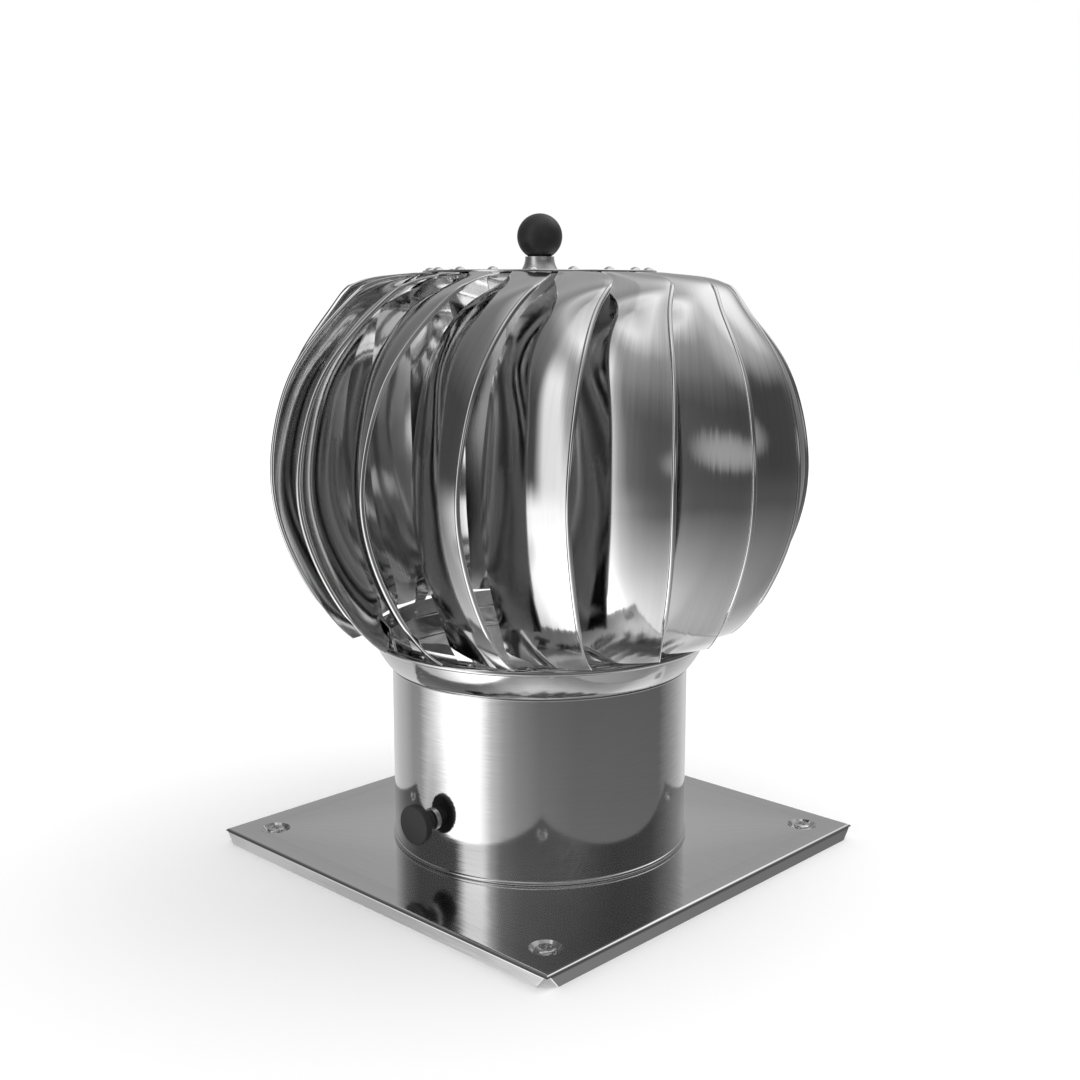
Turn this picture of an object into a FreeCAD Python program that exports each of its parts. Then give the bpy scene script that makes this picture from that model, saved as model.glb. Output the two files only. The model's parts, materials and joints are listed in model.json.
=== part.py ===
import FreeCAD, Part
import math
import os
from FreeCAD import Vector

# Turbine roof vent: a square flashing plate with a round neck, and on it a
# wind-driven turbine of eighteen cupped vanes on a fixed shaft.
# Millimetres, Z up. The origin is on the turbine axis, in the plane that the
# plate's folded edges stand on. The lock knob faces -Y.

# Flashing plate, folded from sheet
plate_side = 232.0
plate_sheet = 1.2
plate_depth = 7.0
fold_radius = 1.8
corner_gap = 0.4
screw_spacing = 195.0
dimple_diameter = 15.0
dimple_depth = 2.0

# Corner screws, pan head with a cross recess, each in a nut under the plate
screw_diameter = 5.0
screw_head_diameter = 9.5
screw_head_height = 2.6
screw_head_rounding = 1.6
screw_tail_clearance = 0.4
screw_hole_clearance = 0.25
recess_width = 1.0
recess_length = 4.6
recess_depth = 1.4
nut_flats = 8.0
nut_height = 2.0

# Flue collar under the neck, and the neck that slides over it
neck_diameter = 150.0
neck_sheet = 0.8
neck_height = 91.0
foot_bead_diameter = 3.2
sleeve_clearance = 0.3
collar_sheet = 1.0
collar_height = 60.0
collar_flange_width = 9.0
collar_seam_clearance = 0.1

# Flared rim on top of the neck, with a rolled lip
rim_sheet = 0.8
rim_skirt = 2.6
rim_height = 16.5
rim_diameter = 173.0
rim_bead_diameter = 3.0

# Lock knob, on a screw through a threaded insert in the neck wall
lock_height = 25.0
lock_travel = 2.4
lock_thread_diameter = 5.0
lock_running_clearance = 0.05
lock_insert_diameter = 8.0
lock_insert_flange_diameter = 11.0
lock_insert_flange = 1.2
knob_diameter = 19.5
knob_thickness = 4.0
knob_edge_radius = 0.8
knob_hub_diameter = 9.0
knob_standoff = 12.0
knob_hub_clearance = 0.4
knob_socket_diameter = 6.0
knob_socket_depth = 0.6
knob_web = 0.8
pad_diameter = 4.2
pad_thickness = 0.7
pad_gap = 0.05
pad_pin_diameter = 2.0
pad_pin_length = 1.2

# Cross bracket in the neck, which carries the fixed shaft
bracket_height = 82.0
bracket_sheet = 2.5
bracket_arm_width = 16.0
bracket_tab_length = 15.0
bracket_hub_diameter = 44.0
shaft_diameter = 12.0
shaft_end_diameter = 10.0
shaft_nut_flats = 19.0
shaft_nut_height = 8.0
shaft_washer_diameter = 24.0
shaft_washer_thickness = 2.0
shaft_tail = 5.0
shaft_nose = 1.5

# Sealed ball bearings, one near each end of the hub tube
upper_bearing_diameter = 26.0
lower_bearing_diameter = 28.0
bearing_width = 8.0
bearing_ring_wall = 2.3
bearing_shield = 0.6
bearing_shield_gap = 0.15
bearing_inset = 10.0
hub_wall = 2.5
hub_length = 97.0
hub_shoulder = 1.2
circlip_thickness = 1.0
circlip_reach = 1.3
circlip_groove_depth = 0.3
circlip_edge = 1.5
circlip_gap = 6.0

# Turbine head: disc on top, hub plate under it, vane tongues between the two
vane_tip_height = 111.0
turbine_height = 173.5
turbine_diameter = 263.6
disc_diameter = 114.0
disc_sheet = 1.0
hub_plate_sheet = 1.2
hub_plate_hole_diameter = 20.0
rivet_inset = 3.5
rivet_shank_diameter = 3.0
rivet_head_diameter = 5.0
rivet_head_height = 1.4
rivet_tail_diameter = 4.5
rivet_tail_height = 0.8

# Boss, stud and ball on top of the disc
boss_base_diameter = 18.2
boss_top_diameter = 14.2
boss_height = 6.8
boss_waist = 0.9
ball_diameter = 22.0
ball_seat_depth = 1.4
stud_diameter = 6.0
stud_grip = 9.0
stud_nut_flats = 10.0
stud_nut_height = 5.0

# Vanes, and the ring that ties their feet together
vane_count = 18
vane_sheet = 0.6
vane_bulge = 3.5
vane_columns = 5
vane_phase = 9.0
hem_diameter = 2.4
hem_first_station = 1
hem_last_station = 7
hem_steps = 6
foot_width = 8.0
foot_tuck = 4.4
foot_lean_angle = 6.0
foot_drop = 2.5
foot_play = 0.05
foot_root_share = 0.03
foot_root_sheet = 0.36
ring_running_gap = 3.5
ring_sheet = 0.8
ring_height = 8.0
ring_drop = 0.6
ring_rivet_height = 3.4
ring_rivet_shank_diameter = 2.4
ring_rivet_head_diameter = 4.0
ring_rivet_crown_diameter = 2.4
ring_rivet_tail_diameter = 3.2
ring_rivet_head_height = 0.7
ring_drill_reach = 3.0

# Hemmed leading edge of a vane: share of turbine height above the tip, share
# of turbine radius, and sweep in degrees round the axis
leading_edge = [
    (0.000, 0.744, 8.4),
    (0.110, 0.860, 3.6),
    (0.282, 0.964, 0.9),
    (0.461, 1.000, 0.0),
    (0.640, 0.966, 1.2),
    (0.784, 0.886, 3.7),
    (0.905, 0.765, 8.7),
    (0.968, 0.690, 14.6),
    (0.992, 0.575, 18.3),
]

# Plain trailing edge of the same vane, tucked in behind the next hem
trailing_edge = [
    (0.058, 0.612, -16.0),
    (0.150, 0.668, -18.2),
    (0.282, 0.728, -19.4),
    (0.455, 0.751, -20.0),
    (0.640, 0.736, -18.6),
    (0.784, 0.698, -16.2),
    (0.902, 0.630, -9.6),
    (0.957, 0.535, -2.5),
    (0.986, 0.468, 1.6),
]
tongue_sweep = (19.8, 3.0)
tongue_reach = 2.5
tongue_depth = 9.0
tongue_rows = 4
tongue_play = 0.1

# Heights and radii that follow from the sizes above
plate_top = plate_depth
neck_radius = neck_diameter / 2
neck_bore = neck_radius - neck_sheet
collar_radius = neck_bore - sleeve_clearance
collar_bore = collar_radius - collar_sheet
neck_top = plate_top + neck_height
rim_top = neck_top + rim_height
lock_axis = plate_top + lock_height
bracket_top = plate_top + bracket_height
bracket_base = bracket_top - bracket_sheet
shaft_radius = shaft_diameter / 2
shaft_end_radius = shaft_end_diameter / 2
turbine_radius = turbine_diameter / 2
vane_base = plate_top + vane_tip_height
tongue_height = vane_base + turbine_height
disc_underside = tongue_height + vane_sheet / 2 + tongue_play
disc_top = disc_underside + disc_sheet
hub_plate_top = tongue_height - vane_sheet / 2 - tongue_play
hub_top = hub_plate_top - hub_plate_sheet
hub_bottom = hub_top - hub_length
upper_bearing_top = hub_top - bearing_inset
upper_bearing_base = upper_bearing_top - bearing_width
lower_bearing_base = hub_bottom + circlip_edge + circlip_thickness
lower_bearing_top = lower_bearing_base + bearing_width
shaft_top = upper_bearing_top + circlip_thickness + shaft_nose
ring_radius = rim_diameter / 2 - rim_bead_diameter - ring_running_gap
ring_top = vane_base - ring_drop
ring_base = ring_top - ring_height
knee_height = vane_base + turbine_height * trailing_edge[0][0] - foot_drop
disc_radius = disc_diameter / 2
rivet_circle_radius = disc_radius - rivet_inset
tongue_centre = sum(tongue_sweep) / 2
boss_top = disc_top + boss_height
ball_centre = boss_top + ball_diameter / 2 - ball_seat_depth
stud_top = boss_top + stud_grip
vane_pitch = 360.0 / vane_count


def tube(outer, inner, bottom, top):
    """Return a round tube on the axis, from radii and heights."""
    body = Part.makeCylinder(outer, top - bottom, Vector(0, 0, bottom))
    return body.cut(Part.makeCylinder(inner, top - bottom, Vector(0, 0, bottom)))


def turned(points):
    """Return the solid turned from a closed outline of (radius, height) points."""
    corners = [Vector(radius, 0, height) for radius, height in points]
    outline = Part.makePolygon(corners + corners[:1])
    return Part.Face(outline).revolve(Vector(0, 0, 0), Vector(0, 0, 1), 360)


def torus_at(radius, height, thickness):
    """Return a round bead of the given thickness round the axis."""
    return Part.makeTorus(radius, thickness / 2, Vector(0, 0, height))


def hexagon(flats, height):
    """Return a hexagonal prism standing on the XY plane."""
    reach = flats / math.sqrt(3)
    corners = [
        Vector(reach * math.cos(math.radians(60 * step)), reach * math.sin(math.radians(60 * step)), 0)
        for step in range(7)
    ]
    return Part.Face(Part.makePolygon(corners)).extrude(Vector(0, 0, height))


def nut(flats, height, hole):
    """Return a hexagon nut with its thread hole."""
    return hexagon(flats, height).cut(Part.makeCylinder(hole / 2, height))


def moved(shape, x, y, z):
    """Return a copy of the shape shifted by x, y and z."""
    copy = shape.copy()
    copy.translate(Vector(x, y, z))
    return copy


def turned_about_axis(shape, degrees):
    """Return a copy of the shape turned round the turbine axis."""
    copy = shape.copy()
    copy.rotate(Vector(0, 0, 0), Vector(0, 0, 1), degrees)
    return copy


def corner_places():
    """Return the four screw places on the plate."""
    half = screw_spacing / 2
    return [(half, half), (-half, half), (-half, -half), (half, -half)]


def cylinder_point(radius, sweep, height):
    """Return the point at a radius, a sweep in degrees from -Y and a height."""
    angle = math.radians(sweep)
    return Vector(radius * math.sin(angle), -radius * math.cos(angle), height)


def mitre_notch():
    """Return the tapered cut that opens one corner of the folded edges."""
    half = plate_side / 2
    outside = half + plate_depth
    wires = []
    for height, reach in ((0, plate_depth), (plate_depth - plate_sheet, fold_radius + corner_gap)):
        inside = half - reach
        corners = [
            Vector(outside, outside, height), Vector(inside, outside, height),
            Vector(inside, inside, height), Vector(outside, inside, height),
        ]
        wires.append(Part.makePolygon(corners + corners[:1]))
    return Part.makeLoft(wires, True, True)


def rounded_tray(side, height, radius):
    """Return a block on the floor with its four top edges rounded."""
    block = Part.makeBox(side, side, height, Vector(-side / 2, -side / 2, 0))
    top_edges = [edge for edge in block.Edges if edge.BoundBox.ZMin > height / 2]
    return block.makeFillet(radius, top_edges)


def base_plate():
    """Folded plate: four edges turned down, mitred corners, pressed screw dimples."""
    plate = rounded_tray(plate_side, plate_depth, fold_radius)
    hollow_side = plate_side - 2 * plate_sheet
    hollow = rounded_tray(hollow_side, plate_depth - plate_sheet, fold_radius - plate_sheet)
    plate = plate.cut(hollow)
    for step in range(4):
        plate = plate.cut(turned_about_axis(mitre_notch(), 90 * step))
    plate = plate.cut(Part.makeCylinder(collar_radius + collar_seam_clearance, plate_depth))
    hole = screw_diameter / 2 + screw_hole_clearance
    rim = dimple_diameter / 2
    floor = rim - dimple_depth
    cup = turned([
        (hole, plate_top - dimple_depth - plate_sheet), (floor, plate_top - dimple_depth - plate_sheet),
        (rim, plate_top - plate_sheet), (rim, plate_top),
        (floor, plate_top - dimple_depth), (hole, plate_top - dimple_depth),
    ])
    for x, y in corner_places():
        plate = plate.cut(Part.makeCylinder(rim, plate_depth, Vector(x, y, 0)))
        plate = plate.fuse(moved(cup, x, y, 0))
    return plate


def corner_screws():
    """Four pan-head screws with cross recesses, seated in the dimples."""
    seat = plate_top - dimple_depth
    head = Part.makeCylinder(screw_head_diameter / 2, screw_head_height)
    crown = [edge for edge in head.Edges if edge.BoundBox.ZMin > screw_head_height / 2]
    head = head.makeFillet(screw_head_rounding, crown)
    slot = Part.makeBox(
        recess_length, recess_width, recess_depth,
        Vector(-recess_length / 2, -recess_width / 2, screw_head_height - recess_depth),
    )
    cross = slot.fuse(turned_about_axis(slot, 90))
    reach = seat - screw_tail_clearance
    shank = Part.makeCylinder(screw_diameter / 2, reach, Vector(0, 0, -reach))
    screw = head.fuse(shank).cut(cross)
    return Part.makeCompound([moved(screw, x, y, seat) for x, y in corner_places()])


def corner_nuts():
    """Four nuts on the corner screws, drawn up against the underside."""
    top = plate_top - dimple_depth - plate_sheet
    one = nut(nut_flats, nut_height, screw_diameter)
    return Part.makeCompound([moved(one, x, y, top - nut_height) for x, y in corner_places()])


def base_collar():
    """Flue collar: a tube through the plate with a flange spot-welded below it."""
    flange_top = plate_top - plate_sheet
    flange_base = flange_top - collar_sheet
    wall = tube(collar_radius, collar_bore, flange_base, plate_top + collar_height)
    flange = tube(collar_radius + collar_flange_width, collar_bore, flange_base, flange_top)
    return wall.fuse(flange).removeSplitter()


def neck_sleeve():
    """Neck tube with a rolled foot, and the hole for the lock insert."""
    sleeve = tube(neck_radius, neck_bore, plate_top, neck_top)
    bead = torus_at(neck_radius, plate_top + foot_bead_diameter / 2, foot_bead_diameter)
    bead = bead.cut(Part.makeCylinder(neck_bore, foot_bead_diameter, Vector(0, 0, plate_top)))
    hole = Part.makeCylinder(
        lock_insert_diameter / 2, neck_radius, Vector(0, 0, lock_axis), Vector(0, -1, 0),
    )
    return sleeve.fuse(bead).cut(hole)


def rim_ring():
    """Flared ring: a skirt round the neck top, a cone and a rolled lip."""
    bead_radius = rim_bead_diameter / 2
    outer = neck_radius + rim_sheet
    lip = Vector(rim_diameter / 2 - bead_radius, 0, rim_top - bead_radius)
    along = (lip - Vector(neck_radius + rim_sheet / 2, 0, neck_top)).normalize()
    across = Vector(along.z, 0, -along.x) * (rim_sheet / 2)
    root = lip - along * math.sqrt(bead_radius ** 2 - (rim_sheet / 2) ** 2)
    bead = Part.Arc(root + across, lip + along * bead_radius, root - across).toShape()
    wall = Part.makePolygon([
        root - across, Vector(neck_radius, 0, neck_top), Vector(neck_radius, 0, neck_top - rim_skirt),
        Vector(outer, 0, neck_top - rim_skirt), Vector(outer, 0, neck_top), root + across,
    ])
    profile = Part.Face(Part.Wire([bead] + wall.Edges))
    return profile.revolve(Vector(0, 0, 0), Vector(0, 0, 1), 360)


def on_lock_axis(shape):
    """Lay a piece that was built along +Z out along -Y at the lock height."""
    copy = shape.copy()
    copy.rotate(Vector(0, 0, 0), Vector(1, 0, 0), 90)
    copy.translate(Vector(0, 0, lock_axis))
    return copy


def lock_insert():
    """Threaded insert: a shank in the neck wall and a flange outside it."""
    flange = Part.makeCylinder(
        lock_insert_flange_diameter / 2, lock_insert_flange + neck_sheet, Vector(0, 0, neck_bore),
    )
    flange = on_lock_axis(flange).cut(Part.makeCylinder(neck_radius, neck_top))
    shank = Part.makeCylinder(lock_insert_diameter / 2, neck_sheet, Vector(0, 0, neck_bore))
    thread = Part.makeCylinder(lock_thread_diameter / 2, neck_radius, Vector(0, 0, neck_bore - neck_sheet))
    return flange.fuse(on_lock_axis(shank)).cut(on_lock_axis(thread))


def lock_pad():
    """Swivel pad on the tip of the lock screw, which bears on the collar."""
    face = collar_radius + pad_gap
    disc = Part.makeCylinder(pad_diameter / 2, pad_thickness, Vector(0, 0, face))
    pin = Part.makeCylinder(pad_pin_diameter / 2, pad_pin_length, Vector(0, 0, face + pad_thickness))
    return on_lock_axis(disc.fuse(pin))


def lock_screw():
    """Steel screw of the lock knob, with a socket for the pad's pin."""
    tip = collar_radius + pad_gap + pad_thickness + lock_running_clearance
    end = neck_radius + knob_standoff - knob_socket_depth - knob_web
    radius = lock_thread_diameter / 2 - lock_running_clearance
    screw = Part.makeCylinder(radius, end - tip, Vector(0, 0, tip))
    socket_depth = pad_pin_length + lock_running_clearance
    socket_radius = pad_pin_diameter / 2 + lock_running_clearance
    socket = Part.makeCylinder(socket_radius, socket_depth, Vector(0, 0, tip))
    return on_lock_axis(screw.cut(socket))


def lock_knob():
    """Moulded knob: a round head on a narrower hub, with a shallow dish."""
    face = neck_radius + knob_standoff
    back = face - knob_thickness
    head = Part.makeCylinder(knob_diameter / 2, knob_thickness, Vector(0, 0, back))
    head = head.makeFillet(knob_edge_radius, [edge for edge in head.Edges if edge.Closed])
    hub_base = neck_radius + lock_insert_flange + knob_hub_clearance
    hub = Part.makeCylinder(knob_hub_diameter / 2, back - hub_base, Vector(0, 0, hub_base))
    dish_floor = face - knob_socket_depth
    dish = Part.makeCylinder(knob_socket_diameter / 2, knob_socket_depth, Vector(0, 0, dish_floor))
    screw_end = dish_floor - knob_web
    screw_radius = lock_thread_diameter / 2 - lock_running_clearance
    bore = Part.makeCylinder(screw_radius, screw_end - hub_base, Vector(0, 0, hub_base))
    return on_lock_axis(head.fuse(hub).cut(dish).cut(bore))


def shaft_bracket():
    """Four-armed bracket with its ends folded down against the neck wall."""
    hub = Part.makeCylinder(bracket_hub_diameter / 2, bracket_sheet, Vector(0, 0, bracket_base))
    arm = Part.makeBox(
        2 * neck_radius, bracket_arm_width, bracket_tab_length,
        Vector(-neck_radius, -bracket_arm_width / 2, bracket_top - bracket_tab_length),
    )
    web = Part.makeCylinder(neck_bore, bracket_sheet, Vector(0, 0, bracket_base))
    wall = tube(neck_bore, neck_bore - bracket_sheet, bracket_top - bracket_tab_length, bracket_top)
    folded = web.fuse(wall)
    cross = arm.fuse(turned_about_axis(arm, 90))
    bracket = folded.common(cross).fuse(hub)
    return bracket.cut(Part.makeCylinder(shaft_radius, bracket_top)).removeSplitter()


def shaft_nuts():
    """Two nuts that clamp the shaft to its bracket."""
    one = nut(shaft_nut_flats, shaft_nut_height, shaft_diameter)
    above = bracket_top + shaft_washer_thickness
    below = bracket_base - shaft_washer_thickness - shaft_nut_height
    return Part.makeCompound([moved(one, 0, 0, above), moved(one, 0, 0, below)])


def shaft_washers():
    """Washers between the shaft nuts and the bracket."""
    radius = shaft_washer_diameter / 2
    above = tube(radius, shaft_radius, bracket_top, bracket_top + shaft_washer_thickness)
    below = tube(radius, shaft_radius, bracket_base - shaft_washer_thickness, bracket_base)
    return Part.makeCompound([above, below])


def circlip_ring(outer, inner, base):
    """Return an open retaining ring."""
    ring = tube(outer, inner, base, base + circlip_thickness)
    slot = Part.makeBox(outer, circlip_gap, circlip_thickness, Vector(0, -circlip_gap / 2, base))
    return ring.cut(slot)


def shaft_circlip_places():
    """Return the radius of the shaft and the height of each of its two rings."""
    return [
        (shaft_end_radius, upper_bearing_top),
        (shaft_radius, lower_bearing_base - circlip_thickness),
    ]


def rotor_shaft():
    """Fixed shaft, turned down at the top, with grooves for its two rings."""
    foot = bracket_base - shaft_washer_thickness - shaft_nut_height - shaft_tail
    shaft = Part.makeCylinder(shaft_radius, upper_bearing_base - foot, Vector(0, 0, foot))
    shaft = shaft.fuse(Part.makeCylinder(shaft_end_radius, shaft_top - foot, Vector(0, 0, foot)))
    for radius, base in shaft_circlip_places():
        floor = radius - circlip_groove_depth
        shaft = shaft.cut(tube(shaft_diameter, floor, base, base + circlip_thickness))
    return shaft.removeSplitter()


def shaft_circlips():
    """Retaining rings on the shaft, above the upper and below the lower bearing."""
    return Part.makeCompound([
        circlip_ring(radius + circlip_reach, radius - circlip_groove_depth, base)
        for radius, base in shaft_circlip_places()
    ])


def bearing_inner(radius, base):
    """Inner ring of a bearing on the fixed shaft."""
    return tube(radius + bearing_ring_wall, radius, base, base + bearing_width)


def bearing_outer(diameter, inner_radius, base):
    """Outer ring of a bearing with a shield in each face."""
    outer = diameter / 2
    lip = inner_radius + bearing_ring_wall + bearing_shield_gap
    race = outer - bearing_ring_wall
    top = base + bearing_width
    return turned([
        (lip, base), (outer, base), (outer, top), (lip, top), (lip, top - bearing_shield),
        (race, top - bearing_shield), (race, base + bearing_shield), (lip, base + bearing_shield),
    ])


def hub_circlip_places():
    """Return the bore radius and the height of each ring in the hub tube."""
    return [
        (upper_bearing_diameter / 2, upper_bearing_top),
        (lower_bearing_diameter / 2, lower_bearing_base - circlip_thickness),
    ]


def hub_tube():
    """Hub tube, bored at both ends for the bearings."""
    outer = max(upper_bearing_diameter, lower_bearing_diameter) / 2 + hub_wall
    waist = min(upper_bearing_diameter, lower_bearing_diameter) / 2 - hub_shoulder
    hub = tube(outer, waist, hub_bottom, hub_top)
    hub = hub.cut(Part.makeCylinder(
        upper_bearing_diameter / 2, hub_top - upper_bearing_base, Vector(0, 0, upper_bearing_base),
    ))
    hub = hub.cut(Part.makeCylinder(
        lower_bearing_diameter / 2, lower_bearing_top - hub_bottom, Vector(0, 0, hub_bottom),
    ))
    for radius, base in hub_circlip_places():
        groove = Part.makeCylinder(radius + circlip_groove_depth, circlip_thickness, Vector(0, 0, base))
        hub = hub.cut(groove)
    return hub


def hub_circlips():
    """Retaining rings in the hub tube, behind the bearings' outer rings."""
    return Part.makeCompound([
        circlip_ring(radius + circlip_groove_depth, radius - circlip_reach, base)
        for radius, base in hub_circlip_places()
    ])


def with_rivet_holes(sheet):
    """Drill the ring of rivet holes round a sheet of the turbine head."""
    for index in range(vane_count):
        place = cylinder_point(rivet_circle_radius, vane_phase + tongue_centre + index * vane_pitch, 0)
        sheet = sheet.cut(Part.makeCylinder(rivet_shank_diameter / 2, disc_top, place))
    return sheet


def hub_plate():
    """Lower disc of the turbine head, welded on top of the hub tube."""
    return with_rivet_holes(tube(disc_radius, hub_plate_hole_diameter / 2, hub_top, hub_plate_top))


def top_disc():
    """Upper disc of the turbine head, which closes the turbine."""
    return with_rivet_holes(tube(disc_radius, stud_diameter / 2, disc_underside, disc_top))


def top_rivets():
    """One rivet for each vane, through both discs and the tongue between them."""
    head_radius = rivet_head_diameter / 2
    ball_radius = (head_radius ** 2 + rivet_head_height ** 2) / (2 * rivet_head_height)
    head = Part.makeSphere(ball_radius, Vector(0, 0, rivet_head_height - ball_radius))
    head = head.common(Part.makeCylinder(ball_radius, rivet_head_height))
    head.translate(Vector(0, 0, disc_top))
    shank = Part.makeCylinder(rivet_shank_diameter / 2, disc_top - hub_top, Vector(0, 0, hub_top))
    tail_end = hub_top - rivet_tail_height
    tail = Part.makeCylinder(rivet_tail_diameter / 2, rivet_tail_height, Vector(0, 0, tail_end))
    rivet = head.fuse(shank).fuse(tail)
    rivet.translate(cylinder_point(rivet_circle_radius, vane_phase + tongue_centre, 0))
    return Part.makeCompound([
        turned_about_axis(rivet, index * vane_pitch) for index in range(vane_count)
    ])


def top_boss():
    """Spun boss under the ball, waisted between its foot and its top."""
    foot = boss_base_diameter / 2
    crown = boss_top_diameter / 2
    top = disc_top + boss_height
    start = Vector(foot, 0, disc_top)
    finish = Vector(crown, 0, top)
    middle = Vector((foot + crown) / 2 - boss_waist, 0, disc_top + boss_height / 2)
    bore = stud_diameter / 2
    side = Part.Arc(start, middle, finish).toShape()
    rest = Part.makePolygon([finish, Vector(bore, 0, top), Vector(bore, 0, disc_top), start])
    profile = Part.Face(Part.Wire([side] + rest.Edges))
    boss = profile.revolve(Vector(0, 0, 0), Vector(0, 0, 1), 360)
    return boss.cut(ball_form())


def ball_form():
    """Return the full ball above the boss."""
    return Part.makeSphere(ball_diameter / 2, Vector(0, 0, ball_centre))


def ball_knob():
    """Ball on top, flat where it sits in the boss and drilled for the stud."""
    ball = ball_form()
    hole = Part.makeCylinder(stud_diameter / 2, stud_top - disc_top, Vector(0, 0, disc_top))
    return ball.cut(hole)


def ball_stud():
    """Stud from the nut under the disc up into the ball."""
    foot = disc_underside - stud_nut_height
    return Part.makeCylinder(stud_diameter / 2, stud_top - foot, Vector(0, 0, foot))


def stud_nut():
    """Nut under the top disc that holds the stud, boss and ball."""
    one = nut(stud_nut_flats, stud_nut_height, stud_diameter)
    return moved(one, 0, 0, disc_underside - stud_nut_height)


def lower_ring():
    """Ring inside the rim that ties the feet of the vanes together."""
    ring = tube(ring_radius, ring_radius - ring_sheet, ring_base, ring_top)
    for index in range(vane_count):
        ring = ring.cut(turned_about_axis(foot_hole(), index * vane_pitch))
    return ring


def foot_sweep(height):
    """Return the sweep of the middle of a vane's foot at a height."""
    half_width = math.degrees(foot_width / 2 / ring_radius)
    fallen = (knee_height - height) / (knee_height - ring_base)
    return trailing_edge[0][2] + half_width + foot_lean_angle * fallen


def foot_hole():
    """Return the drill for a foot's rivet, on the first vane."""
    height = ring_base + ring_rivet_height
    start = cylinder_point(ring_radius - ring_drill_reach, vane_phase + foot_sweep(height), height)
    finish = cylinder_point(ring_radius + ring_drill_reach, vane_phase + foot_sweep(height), height)
    return Part.makeCylinder(ring_rivet_shank_diameter / 2, 2 * ring_drill_reach, start, finish - start)


def ring_rivets():
    """One rivet through the foot of each vane and the lower ring."""
    height = ring_base + ring_rivet_height
    sweep = vane_phase + foot_sweep(height)
    head_radius = ring_rivet_head_diameter / 2
    crown_radius = ring_rivet_crown_diameter / 2
    tail_radius = ring_rivet_tail_diameter / 2
    seat_radius = math.sqrt((ring_radius - ring_sheet) ** 2 - tail_radius ** 2)
    inside = cylinder_point(seat_radius - ring_rivet_head_height, sweep, height)
    face = cylinder_point(ring_radius + foot_play + vane_sheet, sweep, height)
    outward = face - inside
    shank = Part.makeCylinder(ring_rivet_shank_diameter / 2, outward.Length, inside, outward)
    head = Part.makeCone(head_radius, crown_radius, ring_rivet_head_height, face, outward)
    tail = Part.makeCylinder(tail_radius, ring_rivet_head_height, inside, outward)
    rivet = shank.fuse(head).fuse(tail)
    return Part.makeCompound([
        turned_about_axis(rivet, index * vane_pitch) for index in range(vane_count)
    ])


def vane_stations():
    """Return the two edges of a vane as (radius, sweep, height) station by station."""
    lead = [
        Vector(share * turbine_radius, sweep, vane_base + rise * turbine_height)
        for rise, share, sweep in leading_edge
    ]
    trail = [
        Vector(share * turbine_radius, sweep, vane_base + rise * turbine_height)
        for rise, share, sweep in trailing_edge
    ]
    trail[0].x = ring_radius + vane_sheet / 2
    for row in range(tongue_rows):
        radius = disc_radius + tongue_reach - (tongue_reach + tongue_depth) * row / (tongue_rows - 1)
        lead.append(Vector(radius, tongue_sweep[0], tongue_height))
        trail.append(Vector(radius, tongue_sweep[1], tongue_height))
    return lead, trail


def on_sheet(front, back, share, bulge):
    """Return a point of a vane between its two edges, bowed by a bulge."""
    radius = front.x + (back.x - front.x) * share + 4 * bulge * share * (1 - share)
    sweep = front.y + (back.y - front.y) * share
    height = front.z + (back.z - front.z) * share
    return cylinder_point(radius, sweep + vane_phase, height)


def vane_rows():
    """Return rows of points on the middle of the sheet, from tip to tongue."""
    lead, trail = vane_stations()
    last = len(lead) - 1
    rows = []
    for index in range(len(lead)):
        bulge = vane_bulge * math.sin(math.pi * index / last) if index else -foot_tuck
        rows.append([
            on_sheet(lead[index], trail[index], column / (vane_columns - 1), bulge)
            for column in range(vane_columns)
        ])
    return rows


def sheet_normal(rows, index, column):
    """Return the sheet's unit normal at one point of the rows, facing outward."""
    above = rows[min(index + 1, len(rows) - 1)][column]
    below = rows[max(index - 1, 0)][column]
    right = rows[index][max(column - 1, 0)]
    left = rows[index][min(column + 1, vane_columns - 1)]
    normal = (right - left).cross(above - below)
    return normal.normalize()


def spline_through(points):
    """Return a spline through points at even parameters."""
    curve = Part.BSplineCurve()
    steps = len(points) - 1
    curve.interpolate(Points=points, Parameters=[index / steps for index in range(steps + 1)])
    return curve


def skin(rows):
    """Return a smooth surface through rows of points."""
    along = [spline_through(list(column)) for column in zip(*rows)]
    across = [spline_through(list(line)) for line in zip(*[curve.getPoles() for curve in along])]
    surface = Part.BSplineSurface()
    surface.buildFromPolesMultsKnots(
        [curve.getPoles() for curve in across],
        along[0].getMultiplicities(), across[0].getMultiplicities(),
        along[0].getKnots(), across[0].getKnots(),
        False, False, along[0].Degree, across[0].Degree,
    )
    return surface


def vane_outlines(rows):
    """Return rows of points for the outer face, the rolled hem and the inner face."""
    half = vane_sheet / 2
    outer, hem, inner = [], [], []
    for index, row in enumerate(rows):
        hemmed = hem_first_station <= index <= hem_last_station
        roll = hem_diameter / 2 if hemmed else half
        normals = [sheet_normal(rows, index, column) for column in range(vane_columns)]
        inward = normals[0].cross((row[1] - row[0]).cross(normals[0])).normalize()
        opening = math.asin(half / roll)
        turns = [
            opening + (2 * math.pi - 2 * opening) * step / hem_steps for step in range(hem_steps + 1)
        ]
        arc = [
            row[0] + inward * roll * math.cos(turn) + normals[0] * roll * math.sin(turn)
            for turn in turns
        ]
        outer.append([arc[0]] + [row[step] + normals[step] * half for step in range(1, vane_columns)])
        inner.append([arc[-1]] + [row[step] - normals[step] * half for step in range(1, vane_columns)])
        hem.append(arc)
    return outer, hem, inner


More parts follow.
